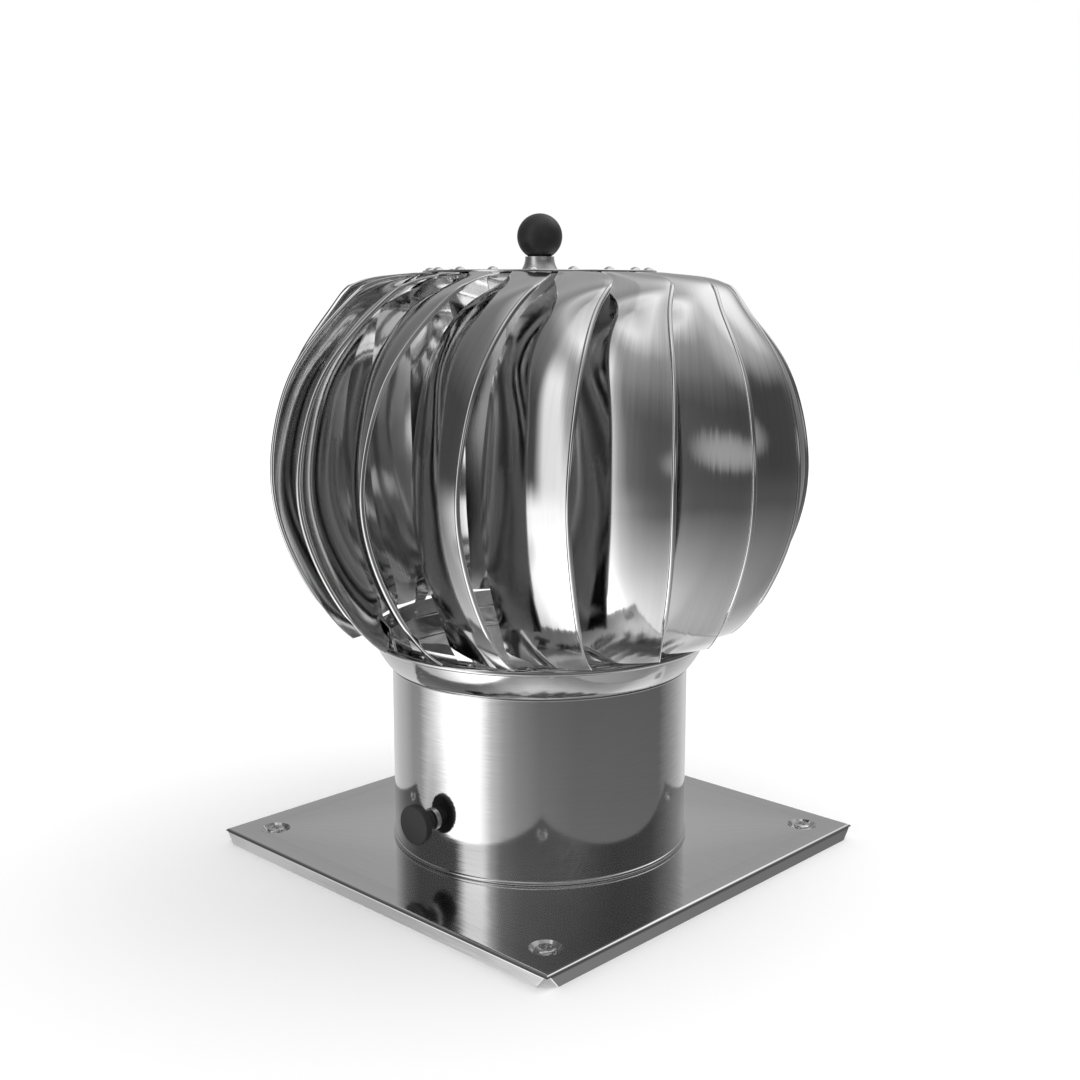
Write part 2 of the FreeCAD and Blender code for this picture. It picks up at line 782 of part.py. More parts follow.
def vane_blade(rows):
    """Return the twisted, cupped sheet of a vane with its rolled hem."""
    outer, hem, inner = vane_outlines(rows)
    skins = [skin(outer), skin(inner), skin([[front[-1], back[-1]] for front, back in zip(outer, inner)])]
    skins += [skin([arc[step:step + 2] for arc in hem]) for step in range(hem_steps)]
    skins += [skin([outer[end], inner[end]]) for end in (0, -1)]
    faces = [surface.toShape() for surface in skins]
    faces += [Part.Face(Part.makePolygon(hem[end] + hem[end][:1])) for end in (0, -1)]
    shell = Part.makeShell(faces)
    shell.sewShape()
    return Part.makeSolid(shell)


def foot_strip(height):
    """Return the outline of the foot at a height, flat against the lower ring."""
    half_angle = math.atan(foot_width / 2 / ring_radius)
    back = ring_radius + foot_play
    corners = []
    for radius, side in ((back, -1), (back, 1), (back + vane_sheet, 1), (back + vane_sheet, -1)):
        sweep = vane_phase + foot_sweep(height) + side * math.degrees(half_angle)
        corners.append(cylinder_point(radius / math.cos(half_angle), sweep, height))
    return Part.makePolygon(corners + corners[:1])


def vane_foot(rows):
    """Return the narrow foot that hangs from the vane down to the lower ring."""
    sections = [foot_strip(height) for height in (ring_base, ring_top, knee_height)]
    middle = skin(rows)
    share = foot_width / (rows[0][-1] - rows[0][0]).Length
    near = middle.value(foot_root_share, 1)
    far = middle.value(foot_root_share, 1 - share)
    depth = middle.normal(foot_root_share, 1 - share / 2) * foot_root_sheet / 2
    if depth.dot(Vector(near.x, near.y, 0)) < 0:
        depth = depth * -1
    corners = [near - depth, far - depth, far + depth, near + depth]
    sections.append(Part.makePolygon(corners + corners[:1]))
    return Part.makeLoft(sections, True, True)


def vane():
    """Return the first vane: blade, hem and foot, drilled for its two rivets."""
    rows = vane_rows()
    sheet = vane_blade(rows).fuse(vane_foot(rows)).cut(foot_hole())
    place = cylinder_point(rivet_circle_radius, vane_phase + tongue_centre, hub_top)
    return sheet.cut(Part.makeCylinder(rivet_shank_diameter / 2, disc_top - hub_top, place)).Solids[0]


def make_parts():
    """Return every sub-part by its name."""
    parts = {
        "base_plate": base_plate(),
        "corner_screws": corner_screws(),
        "corner_nuts": corner_nuts(),
        "base_collar": base_collar(),
        "neck_sleeve": neck_sleeve(),
        "rim_ring": rim_ring(),
        "lock_insert": lock_insert(),
        "lock_pad": lock_pad(),
        "lock_screw": lock_screw(),
        "lock_knob": lock_knob(),
        "shaft_bracket": shaft_bracket(),
        "shaft_nuts": shaft_nuts(),
        "shaft_washers": shaft_washers(),
        "rotor_shaft": rotor_shaft(),
        "shaft_circlips": shaft_circlips(),
        "upper_bearing_inner": bearing_inner(shaft_end_radius, upper_bearing_base),
        "upper_bearing_outer": bearing_outer(upper_bearing_diameter, shaft_end_radius, upper_bearing_base),
        "lower_bearing_inner": bearing_inner(shaft_radius, lower_bearing_base),
        "lower_bearing_outer": bearing_outer(lower_bearing_diameter, shaft_radius, lower_bearing_base),
        "hub_tube": hub_tube(),
        "hub_circlips": hub_circlips(),
        "hub_plate": hub_plate(),
        "top_disc": top_disc(),
        "top_rivets": top_rivets(),
        "top_boss": top_boss(),
        "ball_knob": ball_knob(),
        "ball_stud": ball_stud(),
        "stud_nut": stud_nut(),
        "lower_ring": lower_ring(),
        "ring_rivets": ring_rivets(),
    }
    first_vane = vane()
    for index in range(vane_count):
        parts["vane_%02d" % (index + 1)] = turned_about_axis(first_vane, index * vane_pitch)
    return parts


os.makedirs("parts", exist_ok=True)
for name, shape in make_parts().items():
    shape.exportStep(os.path.join("parts", name + ".step"))
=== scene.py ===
import json
import math
import bmesh
import bpy
import numpy as np
from mathutils import Matrix, Vector

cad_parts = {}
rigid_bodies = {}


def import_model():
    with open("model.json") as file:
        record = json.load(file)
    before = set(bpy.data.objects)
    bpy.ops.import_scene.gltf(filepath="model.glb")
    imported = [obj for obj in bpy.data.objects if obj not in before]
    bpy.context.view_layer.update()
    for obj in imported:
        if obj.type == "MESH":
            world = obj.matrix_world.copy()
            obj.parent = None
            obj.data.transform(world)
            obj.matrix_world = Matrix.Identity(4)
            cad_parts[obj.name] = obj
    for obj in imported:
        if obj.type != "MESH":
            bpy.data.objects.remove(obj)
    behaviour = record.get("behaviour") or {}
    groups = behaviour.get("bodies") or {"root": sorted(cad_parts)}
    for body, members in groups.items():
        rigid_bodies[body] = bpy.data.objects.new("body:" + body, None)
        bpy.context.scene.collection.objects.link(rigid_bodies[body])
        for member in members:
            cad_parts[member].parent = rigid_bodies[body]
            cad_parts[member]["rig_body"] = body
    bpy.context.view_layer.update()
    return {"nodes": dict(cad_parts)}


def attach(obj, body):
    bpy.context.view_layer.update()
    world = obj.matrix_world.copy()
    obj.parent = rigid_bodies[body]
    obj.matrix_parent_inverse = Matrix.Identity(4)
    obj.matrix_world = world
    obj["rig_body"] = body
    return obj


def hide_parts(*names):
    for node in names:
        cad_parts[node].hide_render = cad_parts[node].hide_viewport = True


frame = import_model()


# ---------------------------------------------------------------- flashing plate
# A square of bright stainless sheet with its four edges folded down, the
# corners mitred and a dimple pressed for each screw. The roof carries it, and
# it carries the neck.

def started(name, kind, takes, gives):
    """Start a node group with named sockets. Return it with its two ends."""
    group = bpy.data.node_groups.new(name, kind)
    for way, sockets in (("INPUT", takes), ("OUTPUT", gives)):
        for label, socket in sockets.items():
            group.interface.new_socket(label, in_out=way, socket_type="NodeSocket" + socket)
    return group, group.nodes.new("NodeGroupInput"), group.nodes.new("NodeGroupOutput")


def rolling_grain():
    """Build the group for the fine lines and faint clouds of rolled sheet."""
    group, inside, outside = started(
        "rolling grain", "ShaderNodeTree",
        {"Place": "Vector", "Lines Per Metre": "Vector", "Clouds Per Metre": "Float"},
        {"Lines": "Float", "Clouds": "Float"},
    )
    stretch = group.nodes.new("ShaderNodeVectorMath")
    stretch.operation = "MULTIPLY"
    group.links.new(inside.outputs["Place"], stretch.inputs[0])
    group.links.new(inside.outputs["Lines Per Metre"], stretch.inputs[1])
    lines = group.nodes.new("ShaderNodeTexNoise")
    lines.inputs["Scale"].default_value = 1.0
    lines.inputs["Detail"].default_value = 3.0
    lines.inputs["Roughness"].default_value = 0.62
    group.links.new(stretch.outputs[0], lines.inputs["Vector"])
    clouds = group.nodes.new("ShaderNodeTexNoise")
    clouds.inputs["Detail"].default_value = 4.0
    group.links.new(inside.outputs["Place"], clouds.inputs["Vector"])
    group.links.new(inside.outputs["Clouds Per Metre"], clouds.inputs["Scale"])
    for source, target in ((lines, "Lines"), (clouds, "Clouds")):
        spread = group.nodes.new("ShaderNodeMapRange")
        spread.inputs["From Min"].default_value = 0.3
        spread.inputs["From Max"].default_value = 0.7
        group.links.new(source.outputs[0], spread.inputs["Value"])
        group.links.new(spread.outputs[0], outside.inputs[target])
    return group


def worn_edges():
    """Build the group for the rubbed line along every bare edge."""
    group, inside, outside = started(
        "worn edges", "ShaderNodeTree", {"Sharpness": "Float"}, {"Wear": "Float"},
    )
    bend = group.nodes.new("ShaderNodeNewGeometry")
    pick = group.nodes.new("ShaderNodeMapRange")
    pick.inputs["From Min"].default_value = 0.51
    group.links.new(bend.outputs["Pointiness"], pick.inputs["Value"])
    group.links.new(inside.outputs["Sharpness"], pick.inputs["From Max"])
    group.links.new(pick.outputs[0], outside.inputs["Wear"])
    return group


def combed_normal():
    """Build the group that leans each grain line a little along its own run."""
    group, inside, outside = started(
        "combed normal", "ShaderNodeTree",
        {"Lines": "Float", "Run": "Vector", "Lean": "Float"}, {"Normal": "Vector"},
    )
    surface = group.nodes.new("ShaderNodeNewGeometry")
    centred = group.nodes.new("ShaderNodeMath")
    centred.operation = "SUBTRACT"
    centred.inputs[1].default_value = 0.5
    group.links.new(inside.outputs["Lines"], centred.inputs[0])
    lean = group.nodes.new("ShaderNodeMath")
    lean.operation = "MULTIPLY"
    group.links.new(centred.outputs[0], lean.inputs[0])
    group.links.new(inside.outputs["Lean"], lean.inputs[1])
    push = group.nodes.new("ShaderNodeVectorMath")
    push.operation = "SCALE"
    group.links.new(inside.outputs["Run"], push.inputs[0])
    group.links.new(lean.outputs[0], push.inputs["Scale"])
    leant = group.nodes.new("ShaderNodeVectorMath")
    group.links.new(surface.outputs["Normal"], leant.inputs[0])
    group.links.new(push.outputs[0], leant.inputs[1])
    unit = group.nodes.new("ShaderNodeVectorMath")
    unit.operation = "NORMALIZE"
    group.links.new(leant.outputs[0], unit.inputs[0])
    group.links.new(unit.outputs[0], outside.inputs[0])
    return group


grain_group = rolling_grain()
wear_group = worn_edges()
comb_group = combed_normal()


def steel(name, colour, roughness, lines_per_metre, relief=0.000002, run=None, uv_map=None):
    """Return a bright steel. Its grain runs round Z, or along run."""
    clouds_per_metre, edge_sharpness, line_lean = 24.0, 0.6, 0.03
    line_tone, rubbed_tone = 0.93, 0.86
    least_rough, most_rough, line_rough = 0.75, 1.35, 0.3
    material = bpy.data.materials.new(name)
    material.use_nodes = True
    tree = material.node_tree
    metal = tree.nodes["Principled BSDF"]
    metal.inputs["Metallic"].default_value = 1.0
    if uv_map:
        place = tree.nodes.new("ShaderNodeUVMap")
        place.uv_map = uv_map
        where = place.outputs["UV"]
    else:
        where = tree.nodes.new("ShaderNodeTexCoord").outputs["Object"]
    grain = tree.nodes.new("ShaderNodeGroup")
    grain.node_tree = grain_group
    grain.inputs["Lines Per Metre"].default_value = lines_per_metre
    grain.inputs["Clouds Per Metre"].default_value = clouds_per_metre
    tree.links.new(where, grain.inputs["Place"])
    wear = tree.nodes.new("ShaderNodeGroup")
    wear.node_tree = wear_group
    wear.inputs["Sharpness"].default_value = edge_sharpness
    tint = tree.nodes.new("ShaderNodeMix")
    tint.data_type = "RGBA"
    tint.inputs[6].default_value = (*[line_tone * part for part in colour], 1.0)
    tint.inputs[7].default_value = (*colour, 1.0)
    tree.links.new(grain.outputs["Lines"], tint.inputs[0])
    rubbed = tree.nodes.new("ShaderNodeMix")
    rubbed.data_type = "RGBA"
    rubbed.inputs[7].default_value = (rubbed_tone, rubbed_tone, rubbed_tone, 1.0)
    tree.links.new(wear.outputs["Wear"], rubbed.inputs[0])
    tree.links.new(tint.outputs[2], rubbed.inputs[6])
    tree.links.new(rubbed.outputs[2], metal.inputs["Base Color"])
    dull = tree.nodes.new("ShaderNodeMapRange")
    dull.inputs["To Min"].default_value = least_rough * roughness
    dull.inputs["To Max"].default_value = most_rough * roughness
    tree.links.new(grain.outputs["Clouds"], dull.inputs["Value"])
    brushed = tree.nodes.new("ShaderNodeMath")
    brushed.operation = "MULTIPLY_ADD"
    brushed.inputs[1].default_value = line_rough * roughness
    tree.links.new(grain.outputs["Lines"], brushed.inputs[0])
    tree.links.new(dull.outputs[0], brushed.inputs[2])
    tree.links.new(brushed.outputs[0], metal.inputs["Roughness"])
    bump = tree.nodes.new("ShaderNodeBump")
    bump.inputs["Strength"].default_value = 1.0
    bump.inputs["Distance"].default_value = relief
    tree.links.new(grain.outputs["Lines"], bump.inputs["Height"])
    comb = tree.nodes.new("ShaderNodeGroup")
    comb.node_tree = comb_group
    comb.inputs["Lean"].default_value = line_lean
    tree.links.new(grain.outputs["Lines"], comb.inputs["Lines"])
    tree.links.new(comb.outputs["Normal"], bump.inputs["Normal"])
    if run:
        comb.inputs["Run"].default_value = run
    else:
        surface = tree.nodes.new("ShaderNodeNewGeometry")
        around_axis = tree.nodes.new("ShaderNodeVectorMath")
        around_axis.operation = "CROSS_PRODUCT"
        around_axis.inputs[0].default_value = (0.0, 0.0, 1.0)
        tree.links.new(surface.outputs["Normal"], around_axis.inputs[1])
        tree.links.new(around_axis.outputs[0], comb.inputs["Run"])
    tree.links.new(bump.outputs[0], metal.inputs["Normal"])
    return material


def smoothed(mesh, degrees=32):
    """Shade a mesh smooth, with a crease where it bends more than the angle."""
    if "custom_normal" in mesh.attributes:
        mesh.attributes.remove(mesh.attributes["custom_normal"])
    mesh.polygons.foreach_set("use_smooth", [True] * len(mesh.polygons))
    mesh.set_sharp_from_angle(angle=math.radians(degrees))


def placed(name, mesh, material, body, stands_for):
    """Put a finished mesh on its body, in place of the CAD nodes it stands for."""
    mesh.materials.clear()
    mesh.materials.append(material)
    piece = bpy.data.objects.new(name, mesh)
    bpy.context.scene.collection.objects.link(piece)
    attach(piece, body)
    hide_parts(*stands_for)


def finished(node, material):
    """Dress a CAD node in a merged copy of its own shape, shaded as its surfaces run."""
    seam = 0.000002
    mesh = frame["nodes"][node].data.copy()
    directions = [tuple(corner.vector) for corner in mesh.corner_normals]
    shape = bmesh.new()
    shape.from_mesh(mesh)
    bmesh.ops.remove_doubles(shape, verts=shape.verts, dist=seam)
    shape.to_mesh(mesh)
    shape.free()
    smoothed(mesh)
    if len(mesh.loops) == len(directions):
        mesh.normals_split_custom_set(directions)
    placed(node + "_finished", mesh, material, frame["nodes"][node]["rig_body"], [node])


plate_steel = steel("plate steel", (0.72, 0.72, 0.72), 0.08, (60, 900, 900), run=(1.0, 0.0, 0.0))
finished("base_plate", plate_steel)


# ---------------------------------------------------------------- corner screws
# Four zinc-plated pan-head screws with cross recesses, one in each dimple of
# the plate, each held by a hexagon nut on the underside.

def closed(shape, name, degrees=32):
    """Return a drawn shape as a clean closed mesh with its faces outward."""
    hair = 0.0000001
    bmesh.ops.remove_doubles(shape, verts=shape.verts, dist=hair)
    bmesh.ops.dissolve_degenerate(shape, edges=shape.edges, dist=hair)
    bmesh.ops.recalc_face_normals(shape, faces=shape.faces)
    mesh = bpy.data.meshes.new(name)
    shape.to_mesh(mesh)
    shape.free()
    smoothed(mesh, degrees)
    return mesh


def spun(profile, steps=160):
    """Return the closed mesh turned round Z from (radius, height) points in mm."""
    shape = bmesh.new()
    rings = []
    for step in range(steps):
        angle = 2 * math.pi * step / steps
        turn = Vector((math.cos(angle), math.sin(angle), 0))
        rings.append([
            shape.verts.new(turn * radius / 1000 + Vector((0, 0, height / 1000)))
            for radius, height in profile
        ])
    for near, far in zip(rings, rings[1:] + rings[:1]):
        for index in range(len(profile)):
            after = (index + 1) % len(profile)
            corners = [near[index], far[index], far[after], near[after]]
            if profile[index][0] or profile[after][0]:
                shape.faces.new(corners)
    return closed(shape, "spun")


def arc(centre, radius, start, end, steps):
    """Return points of an arc in a profile, from start to end in degrees."""
    across, up = centre
    turns = [math.radians(start + (end - start) * step / steps) for step in range(steps + 1)]
    return [(across + radius * math.cos(turn), up + radius * math.sin(turn)) for turn in turns]


def pan_head(radius, height, shoulder, recess_length, recess_width, recess_depth):
    """Return a pan head with a tapered cross recess, standing on the origin."""
    rounds, steps, crease = 26, 72, 40
    recess_mouth, recess_slope = 1.12, 0.35
    shape = bmesh.new()
    rows = []
    for ring in range(rounds + 1):
        share = ring / rounds
        row = []
        for step in range(steps):
            angle = 2 * math.pi * step / steps
            x, y = radius * share * math.cos(angle), radius * share * math.sin(angle)
            crown = shoulder + (height - shoulder) * math.sqrt(max(0.0, 1 - share ** 4))
            across, along = min(abs(x), abs(y)), max(abs(x), abs(y))
            wall = max(across / (recess_width / 2), along / (recess_length / 2))
            depth = recess_depth * min(1.0, max(0.0, (recess_mouth - wall) / recess_slope))
            row.append(shape.verts.new((x / 1000, y / 1000, (crown - depth) / 1000)))
        rows.append(row)
    foot = [shape.verts.new((corner.co.x, corner.co.y, 0)) for corner in rows[-1]]
    rows.append(foot)
    for inner, outer in zip(rows, rows[1:]):
        for step in range(steps):
            after = (step + 1) % steps
            shape.faces.new([inner[step], outer[step], outer[after], inner[after]])
    shape.faces.new(foot[::-1])
    return closed(shape, "pan head", crease)


def grown(piece, *trees):
    """Run geometry-nodes trees on a piece and return the plain mesh they make."""
    for tree, values in trees:
        modifier = piece.modifiers.new(tree.name, "NODES")
        modifier.node_group = tree
        for item in tree.interface.items_tree:
            if item.in_out == "INPUT" and item.name in values:
                modifier[item.identifier] = values[item.name]
    bpy.context.view_layer.update()
    depsgraph = bpy.context.evaluated_depsgraph_get()
    mesh = bpy.data.meshes.new_from_object(piece.evaluated_get(depsgraph))
    piece.modifiers.clear()
    bpy.data.objects.remove(piece)
    return mesh


def unplaced(name, mesh):
    """Return a loose object for a tree to work on."""
    piece = bpy.data.objects.new(name, mesh)
    bpy.context.scene.collection.objects.link(piece)
    return piece


def one_in_each_corner():
    """Build the tree that sets a fastener in each corner, turned at random."""
    tree, inside, outside = started(
        "one in each corner", "GeometryNodeTree",
        {"Geometry": "Geometry", "Spacing": "Float", "Height": "Float", "Seed": "Int",
         "Finish": "Material"},
        {"Geometry": "Geometry"},
    )
    corners = tree.nodes.new("GeometryNodeMeshGrid")
    corners.inputs["Vertices X"].default_value = 2
    corners.inputs["Vertices Y"].default_value = 2
    tree.links.new(inside.outputs["Spacing"], corners.inputs["Size X"])
    tree.links.new(inside.outputs["Spacing"], corners.inputs["Size Y"])
    seat = tree.nodes.new("ShaderNodeCombineXYZ")
    tree.links.new(inside.outputs["Height"], seat.inputs["Z"])
    lift = tree.nodes.new("GeometryNodeSetPosition")
    tree.links.new(corners.outputs["Mesh"], lift.inputs["Geometry"])
    tree.links.new(seat.outputs[0], lift.inputs["Offset"])
    tighten = tree.nodes.new("FunctionNodeRandomValue")
    tighten.data_type = "FLOAT"
    tighten.inputs[3].default_value = 2 * math.pi
    tree.links.new(inside.outputs["Seed"], tighten.inputs["Seed"])
    turn = tree.nodes.new("ShaderNodeCombineXYZ")
    tree.links.new(tighten.outputs[1], turn.inputs["Z"])
    copies = tree.nodes.new("GeometryNodeInstanceOnPoints")
    tree.links.new(lift.outputs[0], copies.inputs["Points"])
    tree.links.new(inside.outputs["Geometry"], copies.inputs["Instance"])
    tree.links.new(turn.outputs[0], copies.inputs["Rotation"])
    real = tree.nodes.new("GeometryNodeRealizeInstances")
    tree.links.new(copies.outputs[0], real.inputs[0])
    finish = tree.nodes.new("GeometryNodeSetMaterial")
    tree.links.new(real.outputs[0], finish.inputs["Geometry"])
    tree.links.new(inside.outputs["Finish"], finish.inputs["Material"])
    tree.links.new(finish.outputs[0], outside.inputs[0])
    return tree


screw_spacing, dimple_floor = 195.0, 5.0
screw_steel = steel("screw zinc", (0.66, 0.66, 0.66), 0.2, (500, 500, 500))
screw_head = pan_head(
    radius=4.75, height=2.6, shoulder=1.0, recess_length=4.6, recess_width=1.1, recess_depth=1.4)
screw_heads = grown(
    unplaced("screw head", screw_head),
    (one_in_each_corner(), {"Spacing": screw_spacing / 1000, "Height": dimple_floor / 1000,
                            "Seed": 4, "Finish": screw_steel}),
)
placed("corner_screw_heads", screw_heads, screw_steel, "roof_base",
       ["corner_screws"])
finished("corner_nuts", screw_steel)


# ---------------------------------------------------------------- flue collar
# A plain tube through the plate with a flange spot-welded under it; the flue
# pipe slides up inside, and the neck slides down over it.

collar_steel = steel("collar steel", (0.62, 0.62, 0.62), 0.2, (60, 60, 700))
finished("base_collar", collar_steel)


# ---------------------------------------------------------------- neck
# A tube of bright sheet, 150 mm across, with a bead rolled round its foot.
# The sheet's grain runs round it.

neck_radius, neck_bore = 75.0, 74.2
neck_foot, neck_top = 7.0, 98.0
bead_radius = 1.0
tube_steps = 256
neck_steel = steel("neck steel", (0.74, 0.74, 0.74), 0.07, (70, 70, 1500))
neck_profile = (
    [(neck_bore, neck_foot), (neck_bore, neck_top), (neck_radius, neck_top)]
    + arc((neck_radius, neck_foot + bead_radius), bead_radius, 90, -90, 14)
)
placed("neck_tube", spun(neck_profile, tube_steps), neck_steel, "roof_base",
       ["neck_sleeve"])


# ---------------------------------------------------------------- rim
# A ring of the same sheet pressed over the top of the neck: a short skirt with
# a rounded foot, a flare that bows out a little, and a lip rolled back on
# itself to stiffen it.

rim_sheet, skirt_foot, skirt_round, flare_foot = 0.8, 97.05, 0.5, 98.1
lip_centre, lip_radius = Vector((85.0, 113.0)), 1.5
flare_curve, flare_steps, steepest_share = 0.75, 14, 0.04
rim_steel = steel("rim steel", (0.6, 0.6, 0.6), 0.08, (80, 80, 1200))
skirt_top = Vector((neck_radius + rim_sheet / 2, flare_foot))
slope = (lip_centre - skirt_top) * Vector((flare_curve, 1.0))
slope_angle = math.degrees(math.atan2(slope.y, slope.x))
reach = lip_centre - lip_radius * slope.normalized() - skirt_top
outside_wall, inside_wall = [], []
for step in range(flare_steps + 1):
    share = step / flare_steps
    middle = skirt_top + Vector((reach.x * share ** flare_curve, reach.y * share))
    run_out = flare_curve * max(share, steepest_share) ** (flare_curve - 1)
    lean = math.atan2(reach.y, reach.x * run_out)
    across = Vector((math.sin(lean), -math.cos(lean))) * rim_sheet / 2
    outside_wall.append(tuple(middle + across))
    inside_wall.append(tuple(middle - across))
mouth = math.degrees(math.asin(rim_sheet / 2 / lip_radius))
rim_profile = (
    [(neck_radius, skirt_foot)]
    + arc((neck_radius + skirt_round, skirt_foot + skirt_round), skirt_round, -90, 40, 6)
    + outside_wall
    + arc(lip_centre, lip_radius, slope_angle - 180 + mouth, slope_angle + 180 - mouth, 26)
    + inside_wall[::-1]
)
placed("rim_flare", spun(rim_profile, tube_steps), rim_steel, "roof_base",
       ["rim_ring"])


# ---------------------------------------------------------------- lock knob
# A black moulded knob on a steel screw. The screw runs through a threaded
# insert in the neck's wall and presses a swivel pad on the flue collar.

def moulded_plastic(name, colour, roughness):
    """Return a matte moulded plastic with the fine bite of its mould."""
    dark_share, light_share, sheen_spread = 0.8, 1.25, 0.06
    material = bpy.data.materials.new(name)
    material.use_nodes = True
    tree = material.node_tree
    plastic = tree.nodes["Principled BSDF"]
    plastic.inputs["Specular IOR Level"].default_value = 0.4
    where = tree.nodes.new("ShaderNodeTexCoord")
    bite = tree.nodes.new("ShaderNodeTexNoise")
    bite.inputs["Scale"].default_value = 2600.0
    bite.inputs["Detail"].default_value = 2.0
    tree.links.new(where.outputs["Object"], bite.inputs["Vector"])
    handled = tree.nodes.new("ShaderNodeTexNoise")
    handled.inputs["Scale"].default_value = 120.0
    handled.inputs["Detail"].default_value = 3.0
    tree.links.new(where.outputs["Object"], handled.inputs["Vector"])
    shade = tree.nodes.new("ShaderNodeMix")
    shade.data_type = "RGBA"
    shade.inputs[6].default_value = (*[dark_share * part for part in colour], 1.0)
    shade.inputs[7].default_value = (*[light_share * part for part in colour], 1.0)
    tree.links.new(handled.outputs[0], shade.inputs[0])
    tree.links.new(shade.outputs[2], plastic.inputs["Base Color"])
    sheen = tree.nodes.new("ShaderNodeMapRange")
    sheen.inputs["From Min"].default_value = 0.3
    sheen.inputs["From Max"].default_value = 0.7
    sheen.inputs["To Min"].default_value = roughness - sheen_spread
    sheen.inputs["To Max"].default_value = roughness + sheen_spread
    tree.links.new(handled.outputs[0], sheen.inputs["Value"])
    tree.links.new(sheen.outputs[0], plastic.inputs["Roughness"])
    bump = tree.nodes.new("ShaderNodeBump")
    bump.inputs["Strength"].default_value = 0.5
    bump.inputs["Distance"].default_value = 0.00002
    tree.links.new(bite.outputs[0], bump.inputs["Height"])
    tree.links.new(bump.outputs[0], plastic.inputs["Normal"])
    return material


lock_axis = 32.0
knob_face, knob_back, hub_back = 87.0, 83.0, 76.6
knob_radius, knob_round, hub_radius, hub_round = 9.75, 0.8, 4.5, 0.4
knob_steps = 96
knob_plastic = moulded_plastic("knob plastic", (0.028, 0.028, 0.029), 0.5)
knob_profile = (
    [(0, hub_back), (hub_radius, hub_back), (hub_radius, knob_back - hub_round)]
    + arc((hub_radius + hub_round, knob_back - hub_round), hub_round, 180, 90, 4)[1:]
    + arc((knob_radius - knob_round, knob_back + knob_round), knob_round, -90, 0, 6)
    + arc((knob_radius - knob_round, knob_face - knob_round), knob_round, 0, 90, 6)
    + [(0, knob_face)]
)
knob = spun(knob_profile, knob_steps)
knob.transform(Matrix.Translation((0, 0, lock_axis / 1000)) @ Matrix.Rotation(math.pi / 2, 4, "X"))
placed("lock_knob_moulding", knob, knob_plastic, "lock_handle", ["lock_knob"])

lock_steel = steel("lock steel", (0.6, 0.6, 0.6), 0.22, (400, 400, 400))
finished("lock_screw", lock_steel)
# The insert is coloured near black: painted shade for the dark gap it sits in under the knob.
painted_shade_steel = steel("painted shade steel", (0.05, 0.05, 0.05), 0.35, (400, 400, 400))
finished("lock_insert", painted_shade_steel)
finished("lock_pad", lock_steel)


# ---------------------------------------------------------------- bracket and shaft
# A four-armed bracket of thick sheet is welded across the neck. The fixed
# shaft stands in it between two nuts and washers, turned down at its top.

bracket_steel = steel("bracket steel", (0.5, 0.5, 0.5), 0.3, (700, 120, 120))
finished("shaft_bracket", bracket_steel)
turned_steel = steel("turned steel", (0.55, 0.55, 0.55), 0.2, (90, 90, 2200))
finished("rotor_shaft", turned_steel)
nut_steel = steel("nut zinc", (0.6, 0.6, 0.59), 0.28, (500, 500, 500))
finished("shaft_nuts", nut_steel)
finished("shaft_washers", nut_steel)
finished("shaft_circlips", nut_steel)


# ---------------------------------------------------------------- bearings and hub
# Two sealed ball bearings on the shaft carry the hub tube, whose bores are
# closed by retaining rings. The turbine turns on them.

bearing_steel = steel("bearing steel", (0.6, 0.61, 0.63), 0.12, (300, 300, 2000))
for ring in ("inner", "outer"):
    for place in ("upper", "lower"):
        finished(place + "_bearing_" + ring, bearing_steel)
hub_steel = steel("hub steel", (0.42, 0.42, 0.42), 0.3, (90, 90, 1800))
finished("hub_tube", hub_steel)
finished("hub_circlips", nut_steel)
finished("hub_plate", hub_steel)


# ---------------------------------------------------------------- lower ring
# A hoop of sheet inside the rim. It ties the feet of the vanes together, with
# a small rivet through each foot.

def round_the_axis():
    """Build the tree that repeats a piece round the turbine axis."""
    tree, inside, outside = started(
        "round the axis", "GeometryNodeTree",
        {"Geometry": "Geometry", "Count": "Int", "Finish": "Material"}, {"Geometry": "Geometry"},
    )
    seats = tree.nodes.new("GeometryNodePoints")
    tree.links.new(inside.outputs["Count"], seats.inputs["Count"])
    number = tree.nodes.new("GeometryNodeInputIndex")
    pitch = tree.nodes.new("ShaderNodeMath")
    pitch.operation = "DIVIDE"
    pitch.inputs[0].default_value = 2 * math.pi
    tree.links.new(inside.outputs["Count"], pitch.inputs[1])
    angle = tree.nodes.new("ShaderNodeMath")
    angle.operation = "MULTIPLY"
    tree.links.new(number.outputs[0], angle.inputs[0])
    tree.links.new(pitch.outputs[0], angle.inputs[1])
    turn = tree.nodes.new("ShaderNodeCombineXYZ")
    tree.links.new(angle.outputs[0], turn.inputs["Z"])
    copies = tree.nodes.new("GeometryNodeInstanceOnPoints")
    tree.links.new(seats.outputs[0], copies.inputs["Points"])
    tree.links.new(inside.outputs["Geometry"], copies.inputs["Instance"])
    tree.links.new(turn.outputs[0], copies.inputs["Rotation"])
    real = tree.nodes.new("GeometryNodeRealizeInstances")
    tree.links.new(copies.outputs[0], real.inputs[0])
    finish = tree.nodes.new("GeometryNodeSetMaterial")
    tree.links.new(real.outputs[0], finish.inputs["Geometry"])
    tree.links.new(inside.outputs["Finish"], finish.inputs["Material"])
    tree.links.new(finish.outputs[0], outside.inputs[0])
    return tree


def cylinder_point(radius, sweep, height):
    """Return the place in metres at a radius, a sweep from -Y and a height."""
    angle = math.radians(sweep)
    return Vector((radius * math.sin(angle), -radius * math.cos(angle), height)) / 1000


